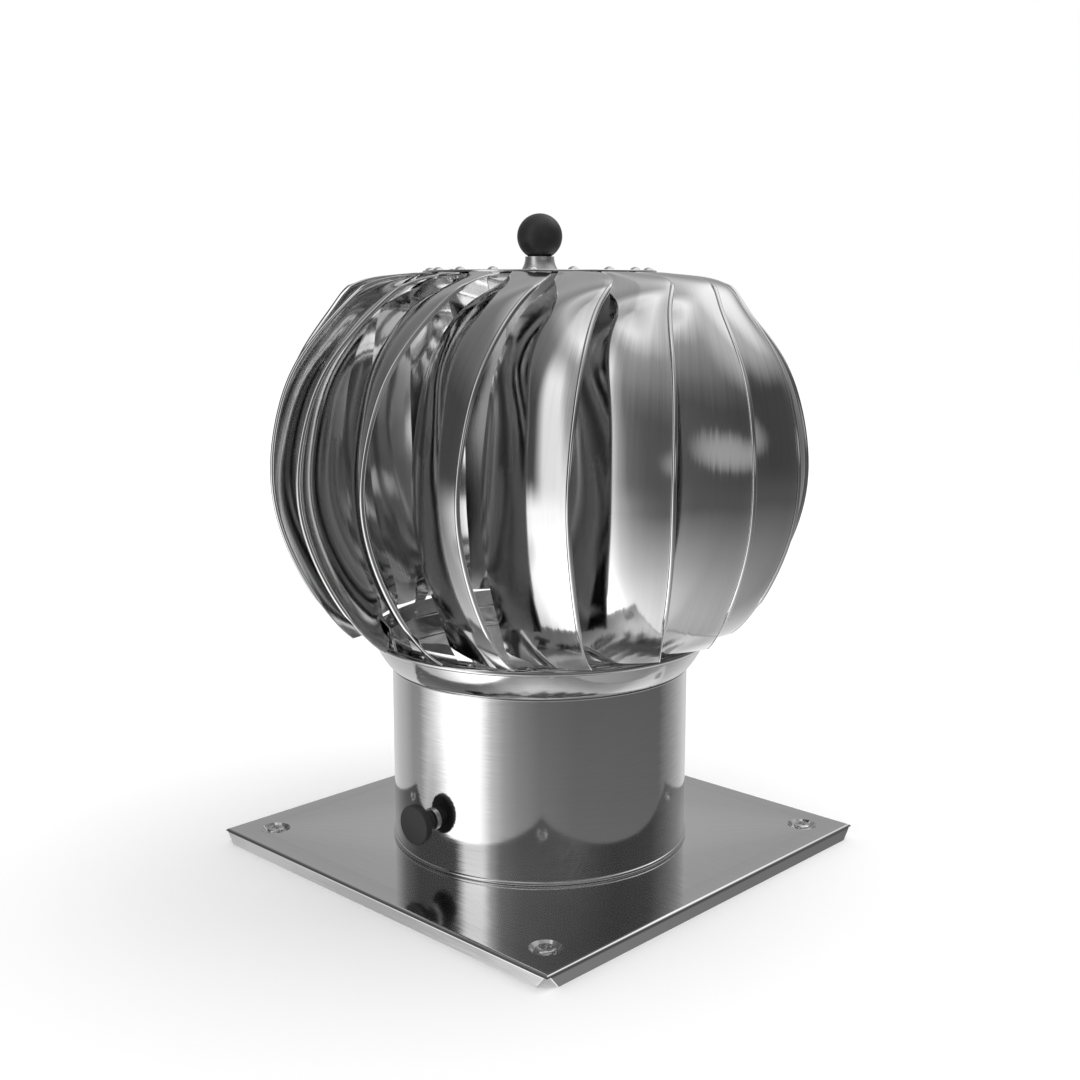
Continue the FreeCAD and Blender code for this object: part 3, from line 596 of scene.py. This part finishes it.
vane_count = 18
foot_rivet_height, foot_rivet_sweep = 112.8, 0.603
ring_steel = steel("ring steel", (0.66, 0.66, 0.66), 0.16, (80, 80, 1200))
finished("lower_ring", ring_steel)
ring_rivet = spun(
    [(0, 78.4), (1.6, 78.4), (1.6, 79.15), (1.2, 79.15), (1.2, 80.65), (2.0, 80.65)]
    + [(1.9, 80.95), (1.5, 81.2), (0.8, 81.33), (0, 81.35)], 24)
ring_rivet.transform(
    Matrix.Rotation(math.radians(foot_rivet_sweep), 4, "Z")
    @ Matrix.Translation((0, 0, foot_rivet_height / 1000))
    @ Matrix.Rotation(math.pi / 2, 4, "X"))
around = round_the_axis()
ring_rivets = grown(
    unplaced("ring rivet", ring_rivet), (around, {"Count": vane_count, "Finish": ring_steel}))
placed("ring_rivet_heads", ring_rivets, ring_steel, "turbine", ["ring_rivets"])


# ---------------------------------------------------------------- vanes
# Eighteen cupped blades of thin bright sheet. Each is hemmed round a bead on
# its leading edge, tucks its plain edge behind the next one, lies as a tongue
# between the two discs at its top and hangs on the lower ring by a foot.

vane_sheet, vane_phase, vane_bulge = 0.6, 9.0, 3.5
tip_height, blade_height, blade_radius = 118.0, 173.5, 131.8
leading_edge = [
    (0.000, 0.744, 8.4), (0.110, 0.860, 3.6), (0.282, 0.964, 0.9), (0.461, 1.000, 0.0),
    (0.640, 0.966, 1.2), (0.784, 0.886, 3.7), (0.905, 0.765, 8.7), (0.968, 0.690, 14.6),
    (0.992, 0.575, 18.3),
]
trailing_edge = [
    (0.020, 0.612, -16.0), (0.150, 0.668, -18.2), (0.282, 0.728, -19.4), (0.455, 0.751, -20.0),
    (0.640, 0.736, -18.6), (0.784, 0.698, -16.2), (0.902, 0.630, -9.6), (0.957, 0.535, -2.5),
    (0.986, 0.468, 1.6),
]
tongue_height, tongue_radii, tongue_sweep = 291.5, (59.5, 55.667, 51.833, 48.0), (19.8, 3.0)
ring_outside, foot_width, foot_tuck, foot_lean, foot_sag = 80.0, 8.0, 4.4, 6.0, 2.6
foot_end, foot_bend, knee_height = 109.4, 117.4, 122.0
hem_share, grain_width, grain_length = 2 / 3, 0.034, 0.26


def vane_edges():
    """Return both edges of a vane as (radius, sweep, height), foot to tongue."""
    lead, trail = [
        [(share * blade_radius, sweep, tip_height + rise * blade_height)
         for rise, share, sweep in edge]
        for edge in (leading_edge, trailing_edge)
    ]
    trail[0] = (ring_outside + vane_sheet / 2, *trail[0][1:])
    lead += [(radius, tongue_sweep[0], tongue_height) for radius in tongue_radii]
    trail += [(radius, tongue_sweep[1], tongue_height) for radius in tongue_radii]
    return np.array(lead), np.array(trail)


def bent_along(points, shares):
    """Return the smooth line through points, at shares of its length."""
    last = len(points) - 1
    start = (-11 * points[0] + 18 * points[1] - 9 * points[2] + 2 * points[3]) / 6
    end = (11 * points[-1] - 18 * points[-2] + 9 * points[-3] - 2 * points[-4]) / 6
    matrix = np.diag([2.0] + [4.0] * (last - 1) + [2.0])
    matrix += np.diag(np.ones(last), 1) + np.diag(np.ones(last), -1)
    known = np.zeros_like(points)
    known[1:-1] = 6 * (points[2:] - 2 * points[1:-1] + points[:-2])
    known[0] = 6 * (points[1] - points[0] - start)
    known[-1] = 6 * (end - points[-1] + points[-2])
    bend = np.linalg.solve(matrix, known)
    spot = np.clip(np.asarray(shares) * last, 0, last - 1e-9)
    index = spot.astype(int)
    past = (spot - index)[:, None]
    left = 1 - past
    return (
        left * points[index] + past * points[index + 1]
        + ((left ** 3 - left) * bend[index] + (past ** 3 - past) * bend[index + 1]) / 6
    )


def sheet_line(share, along):
    """Return points up the vane's middle surface at a share of its width."""
    lead, trail = vane_edges()
    stations = len(lead)
    bulge = vane_bulge * np.sin(np.pi * np.arange(stations) / (stations - 1))
    bulge[0] = -foot_tuck
    radius = lead[:, 0] + (trail[:, 0] - lead[:, 0]) * share + 4 * bulge * share * (1 - share)
    sweep = np.radians(lead[:, 1] + (trail[:, 1] - lead[:, 1]) * share + vane_phase)
    height = lead[:, 2] + (trail[:, 2] - lead[:, 2]) * share
    height[0] -= 4 * foot_sag * share * (1 - share)
    points = np.column_stack([radius * np.sin(sweep), -radius * np.cos(sweep), height])
    return bent_along(points, along)


def vane_mesh(rows, columns):
    """Return one vane: its sheet, its foot, and the bare line for its hem."""
    along = np.linspace(0, 1, rows + 1)
    lines = [sheet_line(column / columns, along) for column in range(columns + 1)]
    middle = np.stack(lines, axis=1)
    up = np.gradient(middle, axis=0)
    over = np.gradient(middle, axis=1)
    normal = np.cross(up, over)
    normal /= np.linalg.norm(normal, axis=2)[:, :, None]
    if (normal[rows // 2, columns // 2, :2] * middle[rows // 2, columns // 2, :2]).sum() < 0:
        normal = -normal
    shape = bmesh.new()
    hem_mark = shape.edges.layers.int.new("hem")
    cloth = shape.loops.layers.uv.new("sheet")
    sides = []
    for side in (0.5, -0.5):
        skin = (middle + normal * vane_sheet * side) / 1000
        sides.append([[shape.verts.new(point) for point in row] for row in skin])
    outer, inner = sides

    def wall(corners, spots):
        face = shape.faces.new(corners)
        for loop, (row, column) in zip(face.loops, spots):
            loop[cloth].uv = (grain_width * column / columns, grain_length * row / rows)

    for row in range(rows):
        for column in range(columns):
            spots = [(row, column), (row + 1, column), (row + 1, column + 1), (row, column + 1)]
            wall([outer[r][c] for r, c in spots], spots)
            wall([inner[r][c] for r, c in spots[::-1]], spots[::-1])
        for column, order in ((0, 1), (columns, -1)):
            spots = [(row, column), (row + 1, column)]
            corners = [inner[r][c] for r, c in spots] + [outer[r][c] for r, c in spots[::-1]]
            wall(corners[::order], (spots + spots[::-1])[::order])
    for column in range(columns):
        for row, order in ((0, -1), (rows, 1)):
            spots = [(row, column), (row, column + 1)]
            corners = [inner[r][c] for r, c in spots] + [outer[r][c] for r, c in spots[::-1]]
            wall(corners[::order], (spots + spots[::-1])[::order])
    bmesh.ops.recalc_face_normals(shape, faces=shape.faces)
    add_foot(shape, middle)
    bead = [shape.verts.new(middle[row, 0] / 1000) for row in range(round(hem_share * rows) + 1)]
    for near, far in zip(bead, bead[1:]):
        shape.edges.new((near, far))[hem_mark] = 1
    mesh = bpy.data.meshes.new("vane")
    shape.to_mesh(mesh)
    shape.free()
    smoothed(mesh)
    return mesh


def add_foot(shape, middle):
    """Add the narrow strip from the vane's lower corner down to the ring."""
    ring_gap, joined_at, joined_depth = 0.05, 0.03, 0.18
    half = math.atan(foot_width / 2 / ring_outside)
    corner_sweep = vane_phase + trailing_edge[0][2]
    back = ring_outside + ring_gap
    front = back + vane_sheet
    sections = []
    for height in (foot_end, foot_bend, knee_height):
        fallen = (knee_height - height) / (knee_height - foot_end)
        sweep = corner_sweep + math.degrees(foot_width / 2 / ring_outside) + foot_lean * fallen
        sections.append([
            cylinder_point(radius / math.cos(half), sweep + side * math.degrees(half), height)
            for radius, side in ((back, -1), (back, 1), (front, 1), (front, -1))
        ])
    width = np.linalg.norm(middle[0, -1] - middle[0, 0])
    near = Vector(sheet_line(1, [joined_at])[0]) / 1000
    far = Vector(sheet_line(1 - foot_width / width, [joined_at])[0]) / 1000
    depth = Vector((near.x, near.y, 0)).normalized() * joined_depth / 1000
    sections.append([near - depth, far - depth, far + depth, near + depth])
    rows = [[shape.verts.new(corner) for corner in section] for section in sections]
    faces = [shape.faces.new(rows[0][::-1]), shape.faces.new(rows[-1])]
    for below, above in zip(rows, rows[1:]):
        for step in range(4):
            after = (step + 1) % 4
            faces.append(shape.faces.new([below[step], below[after], above[after], above[step]]))
    bmesh.ops.recalc_face_normals(shape, faces=faces)


def rolled_hem():
    """Build the tree that rolls a bead along every edge marked as hem."""
    swell_length = 0.014
    tree, inside, outside = started(
        "rolled hem", "GeometryNodeTree",
        {"Geometry": "Geometry", "Bead Radius": "Float", "Bead Sides": "Int",
         "Fold Share": "Float", "Starts At": "Float", "Stops At": "Float"},
        {"Geometry": "Geometry"},
    )
    marked = tree.nodes.new("GeometryNodeInputNamedAttribute")
    marked.data_type = "INT"
    marked.inputs["Name"].default_value = "hem"
    split = tree.nodes.new("GeometryNodeSeparateGeometry")
    split.domain = "EDGE"
    tree.links.new(inside.outputs["Geometry"], split.inputs["Geometry"])
    tree.links.new(marked.outputs["Attribute"], split.inputs["Selection"])
    path = tree.nodes.new("GeometryNodeMeshToCurve")
    tree.links.new(split.outputs["Selection"], path.inputs["Mesh"])
    section = tree.nodes.new("GeometryNodeCurvePrimitiveCircle")
    tree.links.new(inside.outputs["Bead Sides"], section.inputs["Resolution"])
    tree.links.new(inside.outputs["Bead Radius"], section.inputs["Radius"])
    roll = tree.nodes.new("GeometryNodeCurveToMesh")
    roll.inputs["Fill Caps"].default_value = True
    along = tree.nodes.new("GeometryNodeSplineParameter")
    fullness = tree.nodes.new("ShaderNodeMath")
    fullness.operation = "MULTIPLY"
    for index, (label, way) in enumerate((("Starts At", 1), ("Stops At", -1))):
        end = tree.nodes.new("ShaderNodeMath")
        end.inputs[1].default_value = way * swell_length
        tree.links.new(inside.outputs[label], end.inputs[0])
        swell = tree.nodes.new("ShaderNodeMapRange")
        tree.links.new(along.outputs["Factor"], swell.inputs["Value"])
        tree.links.new(inside.outputs[label], swell.inputs["From Min"])
        tree.links.new(end.outputs[0], swell.inputs["From Max"])
        tree.links.new(inside.outputs["Fold Share"], swell.inputs["To Min"])
        tree.links.new(swell.outputs[0], fullness.inputs[index])
    tree.links.new(fullness.outputs[0], roll.inputs["Scale"])
    tree.links.new(path.outputs[0], roll.inputs["Curve"])
    tree.links.new(section.outputs[0], roll.inputs["Profile Curve"])
    both = tree.nodes.new("GeometryNodeJoinGeometry")
    tree.links.new(roll.outputs[0], both.inputs[0])
    tree.links.new(split.outputs["Inverted"], both.inputs[0])
    tree.links.new(both.outputs[0], outside.inputs[0])
    return tree


vane_steel = steel("vane steel", (0.68, 0.68, 0.68), 0.08, (1000, 14, 14),
                   relief=0.0000006, run=(0.0, 0.0, 1.0), uv_map="sheet")
vanes = grown(
    unplaced("vane", vane_mesh(rows=84, columns=16)),
    (rolled_hem(), {"Bead Radius": 0.0012, "Bead Sides": 12, "Fold Share": 0.38, "Starts At": 0.11,
                    "Stops At": 0.925}),
    (around, {"Count": vane_count, "Finish": vane_steel}),
)
smoothed(vanes, 40)
placed("vanes", vanes, vane_steel, "turbine",
       ["vane_%02d" % (index + 1) for index in range(vane_count)])


# ---------------------------------------------------------------- top disc
# A flat disc over the tongues of the vanes, and under it the hub plate. A
# domed rivet for each vane clamps the three sheets together.

disc_radius, disc_foot, disc_top, disc_hole, disc_round = 57.0, 291.9, 292.9, 3.0, 0.25
disc_steel = steel("disc steel", (0.7, 0.7, 0.7), 0.12, (80, 900, 80))
disc_profile = (
    [(disc_hole, disc_foot), (disc_radius - disc_round, disc_foot)]
    + [(disc_radius, disc_foot + disc_round), (disc_radius, disc_top - disc_round)]
    + [(disc_radius - disc_round, disc_top), (disc_hole, disc_top)]
)
placed("top_disc_sheet", spun(disc_profile, 192), disc_steel, "turbine",
       ["top_disc"])
head_height, head_radius, shank_radius = 1.4, 2.5, 1.5
tail_radius, tail_foot, tail_top = 2.25, 289.1, 289.9
rivet_circle, rivet_sweep = 53.5, 11.4
dome = (head_radius ** 2 + head_height ** 2) / (2 * head_height)
edge_angle = math.degrees(math.asin((dome - head_height) / dome))
rivet = spun(
    [(0, tail_foot), (tail_radius, tail_foot), (tail_radius, tail_top)]
    + [(shank_radius, tail_top), (shank_radius, disc_top)]
    + arc((0, disc_top + head_height - dome), dome, edge_angle, 90, 8), 32)
rivet.transform(Matrix.Translation(cylinder_point(rivet_circle, vane_phase + rivet_sweep, 0)))
rivet_steel = steel("rivet steel", (0.7, 0.7, 0.7), 0.16, (500, 500, 500))
rivets = grown(unplaced("rivet", rivet), (around, {"Count": vane_count, "Finish": rivet_steel}))
placed("top_rivet_heads", rivets, rivet_steel, "turbine", ["top_rivets"])


# ---------------------------------------------------------------- boss and ball
# A spun steel boss stands on the disc, and a black plastic ball sits in it.
# One stud with a nut under the disc holds both.

boss_top, ball_centre, ball_radius = 299.7, 309.3, 11.0
boss_steel = steel("boss steel", (0.8, 0.8, 0.8), 0.32, (90, 90, 1800))
boss_side = bent_along(np.array([
    [9.1, disc_top], [8.3, disc_top + 1.6], [7.55, disc_top + 3.4],
    [7.15, disc_top + 5.2], [7.1, boss_top],
]), np.linspace(0, 1, 15))
seat = math.degrees(math.asin((boss_top - ball_centre) / ball_radius))
boss_profile = (
    [(disc_hole, disc_top)] + [tuple(point) for point in boss_side]
    + arc((0, ball_centre), ball_radius, seat, -74, 5)
)
placed("boss_spinning", spun(boss_profile, knob_steps), boss_steel, "turbine",
       ["top_boss"])
ball_plastic = moulded_plastic("ball plastic", (0.022, 0.022, 0.023), 0.38)
ball = spun([(0, ball_centre - ball_radius)] + arc((0, ball_centre), ball_radius, -86, 86, 44)
            + [(0, ball_centre + ball_radius)], knob_steps)
placed("ball_moulding", ball, ball_plastic, "turbine", ["ball_knob"])
finished("ball_stud", nut_steel)
finished("stud_nut", nut_steel)


# ---------------------------------------------------------------- floor
# A plain white floor that holds the soft shadow. Only its shadowed white is
# seen, so the steel shows the studio behind it and not its lit paint.

floor_mesh = bpy.data.meshes.new("floor")
floor_mesh.from_pydata([(-4, -4, 0), (4, -4, 0), (4, 4, 0), (-4, 4, 0)], [], [(0, 1, 2, 3)])
floor = bpy.data.objects.new("floor", floor_mesh)
bpy.context.scene.collection.objects.link(floor)
floor.visible_glossy = False
floor_paint = bpy.data.materials.new("floor paint")
floor_paint.use_nodes = True
paint = floor_paint.node_tree.nodes["Principled BSDF"]
paint.inputs["Base Color"].default_value = (0.97, 0.97, 0.97, 1.0)
paint.inputs["Roughness"].default_value = 0.9
paint.inputs["Specular IOR Level"].default_value = 0.0
paint.inputs["Emission Strength"].default_value = 0.1
tree = floor_paint.node_tree
spot = tree.nodes.new("ShaderNodeTexCoord")
out = tree.nodes.new("ShaderNodeVectorMath")
out.operation = "LENGTH"
tree.links.new(spot.outputs["Object"], out.inputs[0])
sweep = tree.nodes.new("ShaderNodeMapRange")
sweep.inputs["From Min"].default_value = 0.1
sweep.inputs["From Max"].default_value = 0.9
tree.links.new(out.outputs["Value"], sweep.inputs["Value"])
tree.links.new(sweep.outputs[0], paint.inputs["Emission Color"])
floor_mesh.materials.append(floor_paint)


# ---------------------------------------------------------------- studio cloth
# A great ball of cloth hangs round the whole stage, where only polished steel
# sees it: a tall white window by the knob, dim cloth in front, pale cloth
# behind, a few soft patches, and light from above and from the ground.

camera_azimuth = 43.93
cloth_radius, cloth_centre = 3.0, 0.2
brightest = 1.6


def soft_patch():
    """Build the group for one soft-edged lit patch of the cloth."""
    faded_out = 2.2
    ways = (("Azimuth", "Toward", "Half Width"), ("Elevation", "Height", "Half Height"))
    group, inside, outside = started(
        "soft patch", "ShaderNodeTree", {label: "Float" for way in ways for label in way},
        {"Light": "Float"},
    )
    squares = []
    for seen, centre, reach in ways:
        away = group.nodes.new("ShaderNodeMath")
        away.operation = "SUBTRACT"
        group.links.new(inside.outputs[seen], away.inputs[0])
        group.links.new(inside.outputs[centre], away.inputs[1])
        share = group.nodes.new("ShaderNodeMath")
        share.operation = "DIVIDE"
        group.links.new(away.outputs[0], share.inputs[0])
        group.links.new(inside.outputs[reach], share.inputs[1])
        square = group.nodes.new("ShaderNodeMath")
        square.operation = "MULTIPLY"
        group.links.new(share.outputs[0], square.inputs[0])
        group.links.new(share.outputs[0], square.inputs[1])
        squares.append(square)
    total = group.nodes.new("ShaderNodeMath")
    group.links.new(squares[0].outputs[0], total.inputs[0])
    group.links.new(squares[1].outputs[0], total.inputs[1])
    fade = group.nodes.new("ShaderNodeMapRange")
    fade.interpolation_type = "SMOOTHSTEP"
    fade.inputs["From Min"].default_value = faded_out
    fade.inputs["From Max"].default_value = 0.0
    group.links.new(total.outputs[0], fade.inputs["Value"])
    group.links.new(fade.outputs[0], outside.inputs[0])
    return group


def toned(tree, angle, stops, widest):
    """Return the tone of the cloth at an angle, from (degrees, tone) stops."""
    share = tree.nodes.new("ShaderNodeMapRange")
    share.inputs["From Min"].default_value = -widest
    share.inputs["From Max"].default_value = widest
    tree.links.new(angle, share.inputs["Value"])
    ramp = tree.nodes.new("ShaderNodeValToRGB")
    tree.links.new(share.outputs[0], ramp.inputs[0])
    for index, (degrees, tone) in enumerate(stops):
        place = (degrees + widest) / (2 * widest)
        stop = ramp.color_ramp.elements[index] if index < 2 else ramp.color_ramp.elements.new(place)
        stop.position = place
        stop.color = (*[tone / brightest] * 3, 1.0)
    return ramp.outputs[0]


def worked_out(tree, operation, *values):
    """Return the result of one sum on the cloth's angles and tones."""
    node = tree.nodes.new("ShaderNodeMath")
    node.operation = operation
    for index, value in enumerate(values):
        if isinstance(value, (int, float)):
            node.inputs[index].default_value = value
        else:
            tree.links.new(value, node.inputs[index])
    return node.outputs[0]


cloth_mesh = spun([(0, 1000 * (cloth_centre - cloth_radius))]
                  + arc((0, 1000 * cloth_centre), 1000 * cloth_radius, -84, 84, 28)
                  + [(0, 1000 * (cloth_centre + cloth_radius))], 64)
cloth = bpy.data.objects.new("studio_cloth", cloth_mesh)
bpy.context.scene.collection.objects.link(cloth)
for hidden in ("camera", "diffuse", "shadow", "transmission", "volume_scatter"):
    setattr(cloth, "visible_" + hidden, False)
lit_cloth = bpy.data.materials.new("lit cloth")
lit_cloth.use_nodes = True
lit_cloth.cycles.emission_sampling = "NONE"
tree = lit_cloth.node_tree
tree.nodes.remove(tree.nodes["Principled BSDF"])
place = tree.nodes.new("ShaderNodeTexCoord")
level = tree.nodes.new("ShaderNodeVectorMath")
level.operation = "SUBTRACT"
level.inputs[1].default_value = (0.0, 0.0, cloth_centre)
tree.links.new(place.outputs["Object"], level.inputs[0])
split = tree.nodes.new("ShaderNodeSeparateXYZ")
tree.links.new(level.outputs[0], split.inputs[0])
back = worked_out(tree, "MULTIPLY", split.outputs["Y"], -1.0)
turned = worked_out(tree, "SUBTRACT", worked_out(tree, "ARCTAN2", split.outputs["X"], back),
                    math.radians(camera_azimuth))
azimuth = worked_out(tree, "DEGREES", worked_out(tree, "WRAP", turned, math.pi, -math.pi))
rise = worked_out(tree, "DIVIDE", split.outputs["Z"], cloth_radius)
elevation = worked_out(tree, "DEGREES", worked_out(tree, "ARCSINE", rise))
upper = toned(tree, azimuth, [
    (-180, 0.4), (-150, 0.36), (-128, 0.16), (-108, 0.08), (-67, 0.08), (-63, 0.55), (-59, 1.1),
    (-44, 1.15), (-38, 0.5), (-30, 0.2), (-15, 0.13), (15, 0.1), (60, 0.07), (95, 0.08), (120, 0.2),
    (150, 0.38), (180, 0.4),
], 180)
lower = toned(tree, azimuth, [
    (-180, 0.62), (-154, 0.65), (-126, 0.42), (-114, 0.27), (-104, 0.28), (-90, 0.78),
    (-79, 1.25), (-70, 1.5), (-48, 1.45), (-43, 1.1), (-37, 0.6), (-27, 0.32), (-17, 0.2),
    (0, 0.13), (28, 0.115), (104, 0.112), (122, 0.3), (150, 0.65), (180, 0.62),
], 180)
above = tree.nodes.new("ShaderNodeMapRange")
above.interpolation_type = "SMOOTHSTEP"
above.inputs["From Min"].default_value = -14.0
above.inputs["From Max"].default_value = 1.0
tree.links.new(elevation, above.inputs["Value"])
wall = tree.nodes.new("ShaderNodeMix")
wall.data_type = "RGBA"
tree.links.new(above.outputs[0], wall.inputs[0])
tree.links.new(lower, wall.inputs[6])
tree.links.new(upper, wall.inputs[7])
top = tree.nodes.new("ShaderNodeMapRange")
top.interpolation_type = "SMOOTHSTEP"
top.inputs["From Min"].default_value = 40.0
top.inputs["From Max"].default_value = 66.0
top.inputs["To Min"].default_value = 1.0
top.inputs["To Max"].default_value = 0.2
tree.links.new(elevation, top.inputs["Value"])
wall = worked_out(tree, "MULTIPLY", wall.outputs[2], top.outputs[0])
light = wall
for rising, round_about in (
    ([(-90, 1.0), (-70, 0.95), (-58, 0.75), (-45, 0.45), (-30, 0.2), (-22, 0.09), (-16.5, 0)],
     [(-180, 0.7), (-100, 0.9), (-50, 1.0), (-12, 1.0), (25, 0.55), (110, 0.45), (180, 0.7)]),
    ([(24, 0), (34, 0.08), (42, 0.17), (52, 0.3), (61, 0.45), (67, 0.8), (73, 1.3), (79, 1.1),
      (90, 0.75)],
     [(-180, 0.6), (-120, 0.55), (-90, 0.5), (-60, 0.5), (-20, 0.95), (20, 0.8), (60, 0.8),
      (120, 1.0), (180, 0.8)]),
):
    share = worked_out(tree, "MULTIPLY", brightest, toned(tree, azimuth, round_about, 180))
    lit = worked_out(tree, "MULTIPLY", toned(tree, elevation, rising, 90), share)
    light = worked_out(tree, "ADD", light, lit)
patch_group = soft_patch()
for toward, height, half_width, half_height, glow in (
    (27, 9.5, 24, 6, 0.38), (118, 47, 52, 18, 0.35), (134, 46, 26, 14, 0.5),
    (-85, -29, 11, 7, -0.5),
):
    patch = tree.nodes.new("ShaderNodeGroup")
    patch.node_tree = patch_group
    tree.links.new(azimuth, patch.inputs["Azimuth"])
    tree.links.new(elevation, patch.inputs["Elevation"])
    for label, value in (("Toward", toward), ("Height", height), ("Half Width", half_width),
                         ("Half Height", half_height)):
        patch.inputs[label].default_value = value
    light = worked_out(tree, "MULTIPLY_ADD", patch.outputs[0], glow / brightest, light)
shine = tree.nodes.new("ShaderNodeEmission")
shine.inputs["Strength"].default_value = brightest
tree.links.new(light, shine.inputs["Color"])
tree.links.new(shine.outputs[0], tree.nodes["Material Output"].inputs["Surface"])
cloth_mesh.materials.append(lit_cloth)


# ---------------------------------------------------------------- studio light
# A white backdrop, even light all round and one large lamp high up, which
# lays a soft shadow under the plate.

studio = bpy.data.worlds.new("studio")
bpy.context.scene.world = studio
studio.use_nodes = True
tree = studio.node_tree
tree.nodes["Background"].inputs["Color"].default_value = (1.0, 1.0, 1.0, 1.0)
tree.nodes["Background"].inputs["Strength"].default_value = 1.0
lamp = bpy.data.lights.new("softbox", "AREA")
lamp.shape = "RECTANGLE"
lamp.size, lamp.size_y = 1.6, 1.2
lamp.energy = 8.0
softbox = bpy.data.objects.new("softbox", lamp)
softbox.location = (0.35, 0.9, 1.5)
aim = Vector((0, 0, 0.1)) - softbox.location
softbox.rotation_euler = aim.to_track_quat("-Z", "Y").to_euler()
softbox.visible_glossy = False
bpy.context.scene.collection.objects.link(softbox)


# ---------------------------------------------------------------- camera
# It faces the corner of the plate from just under the height of the top disc,
# and looks down by ten degrees.

lens = bpy.data.cameras.new("camera")
lens.sensor_width = 36.0
lens.lens = 46.67
camera = bpy.data.objects.new("camera", lens)
camera.location = (0.4832, -0.5014, 0.2835)
camera.rotation_euler = (math.radians(79.89), 0.0, math.radians(camera_azimuth))
bpy.context.scene.collection.objects.link(camera)
bpy.context.scene.camera = camera
bpy.context.scene.view_settings.view_transform = "Standard"
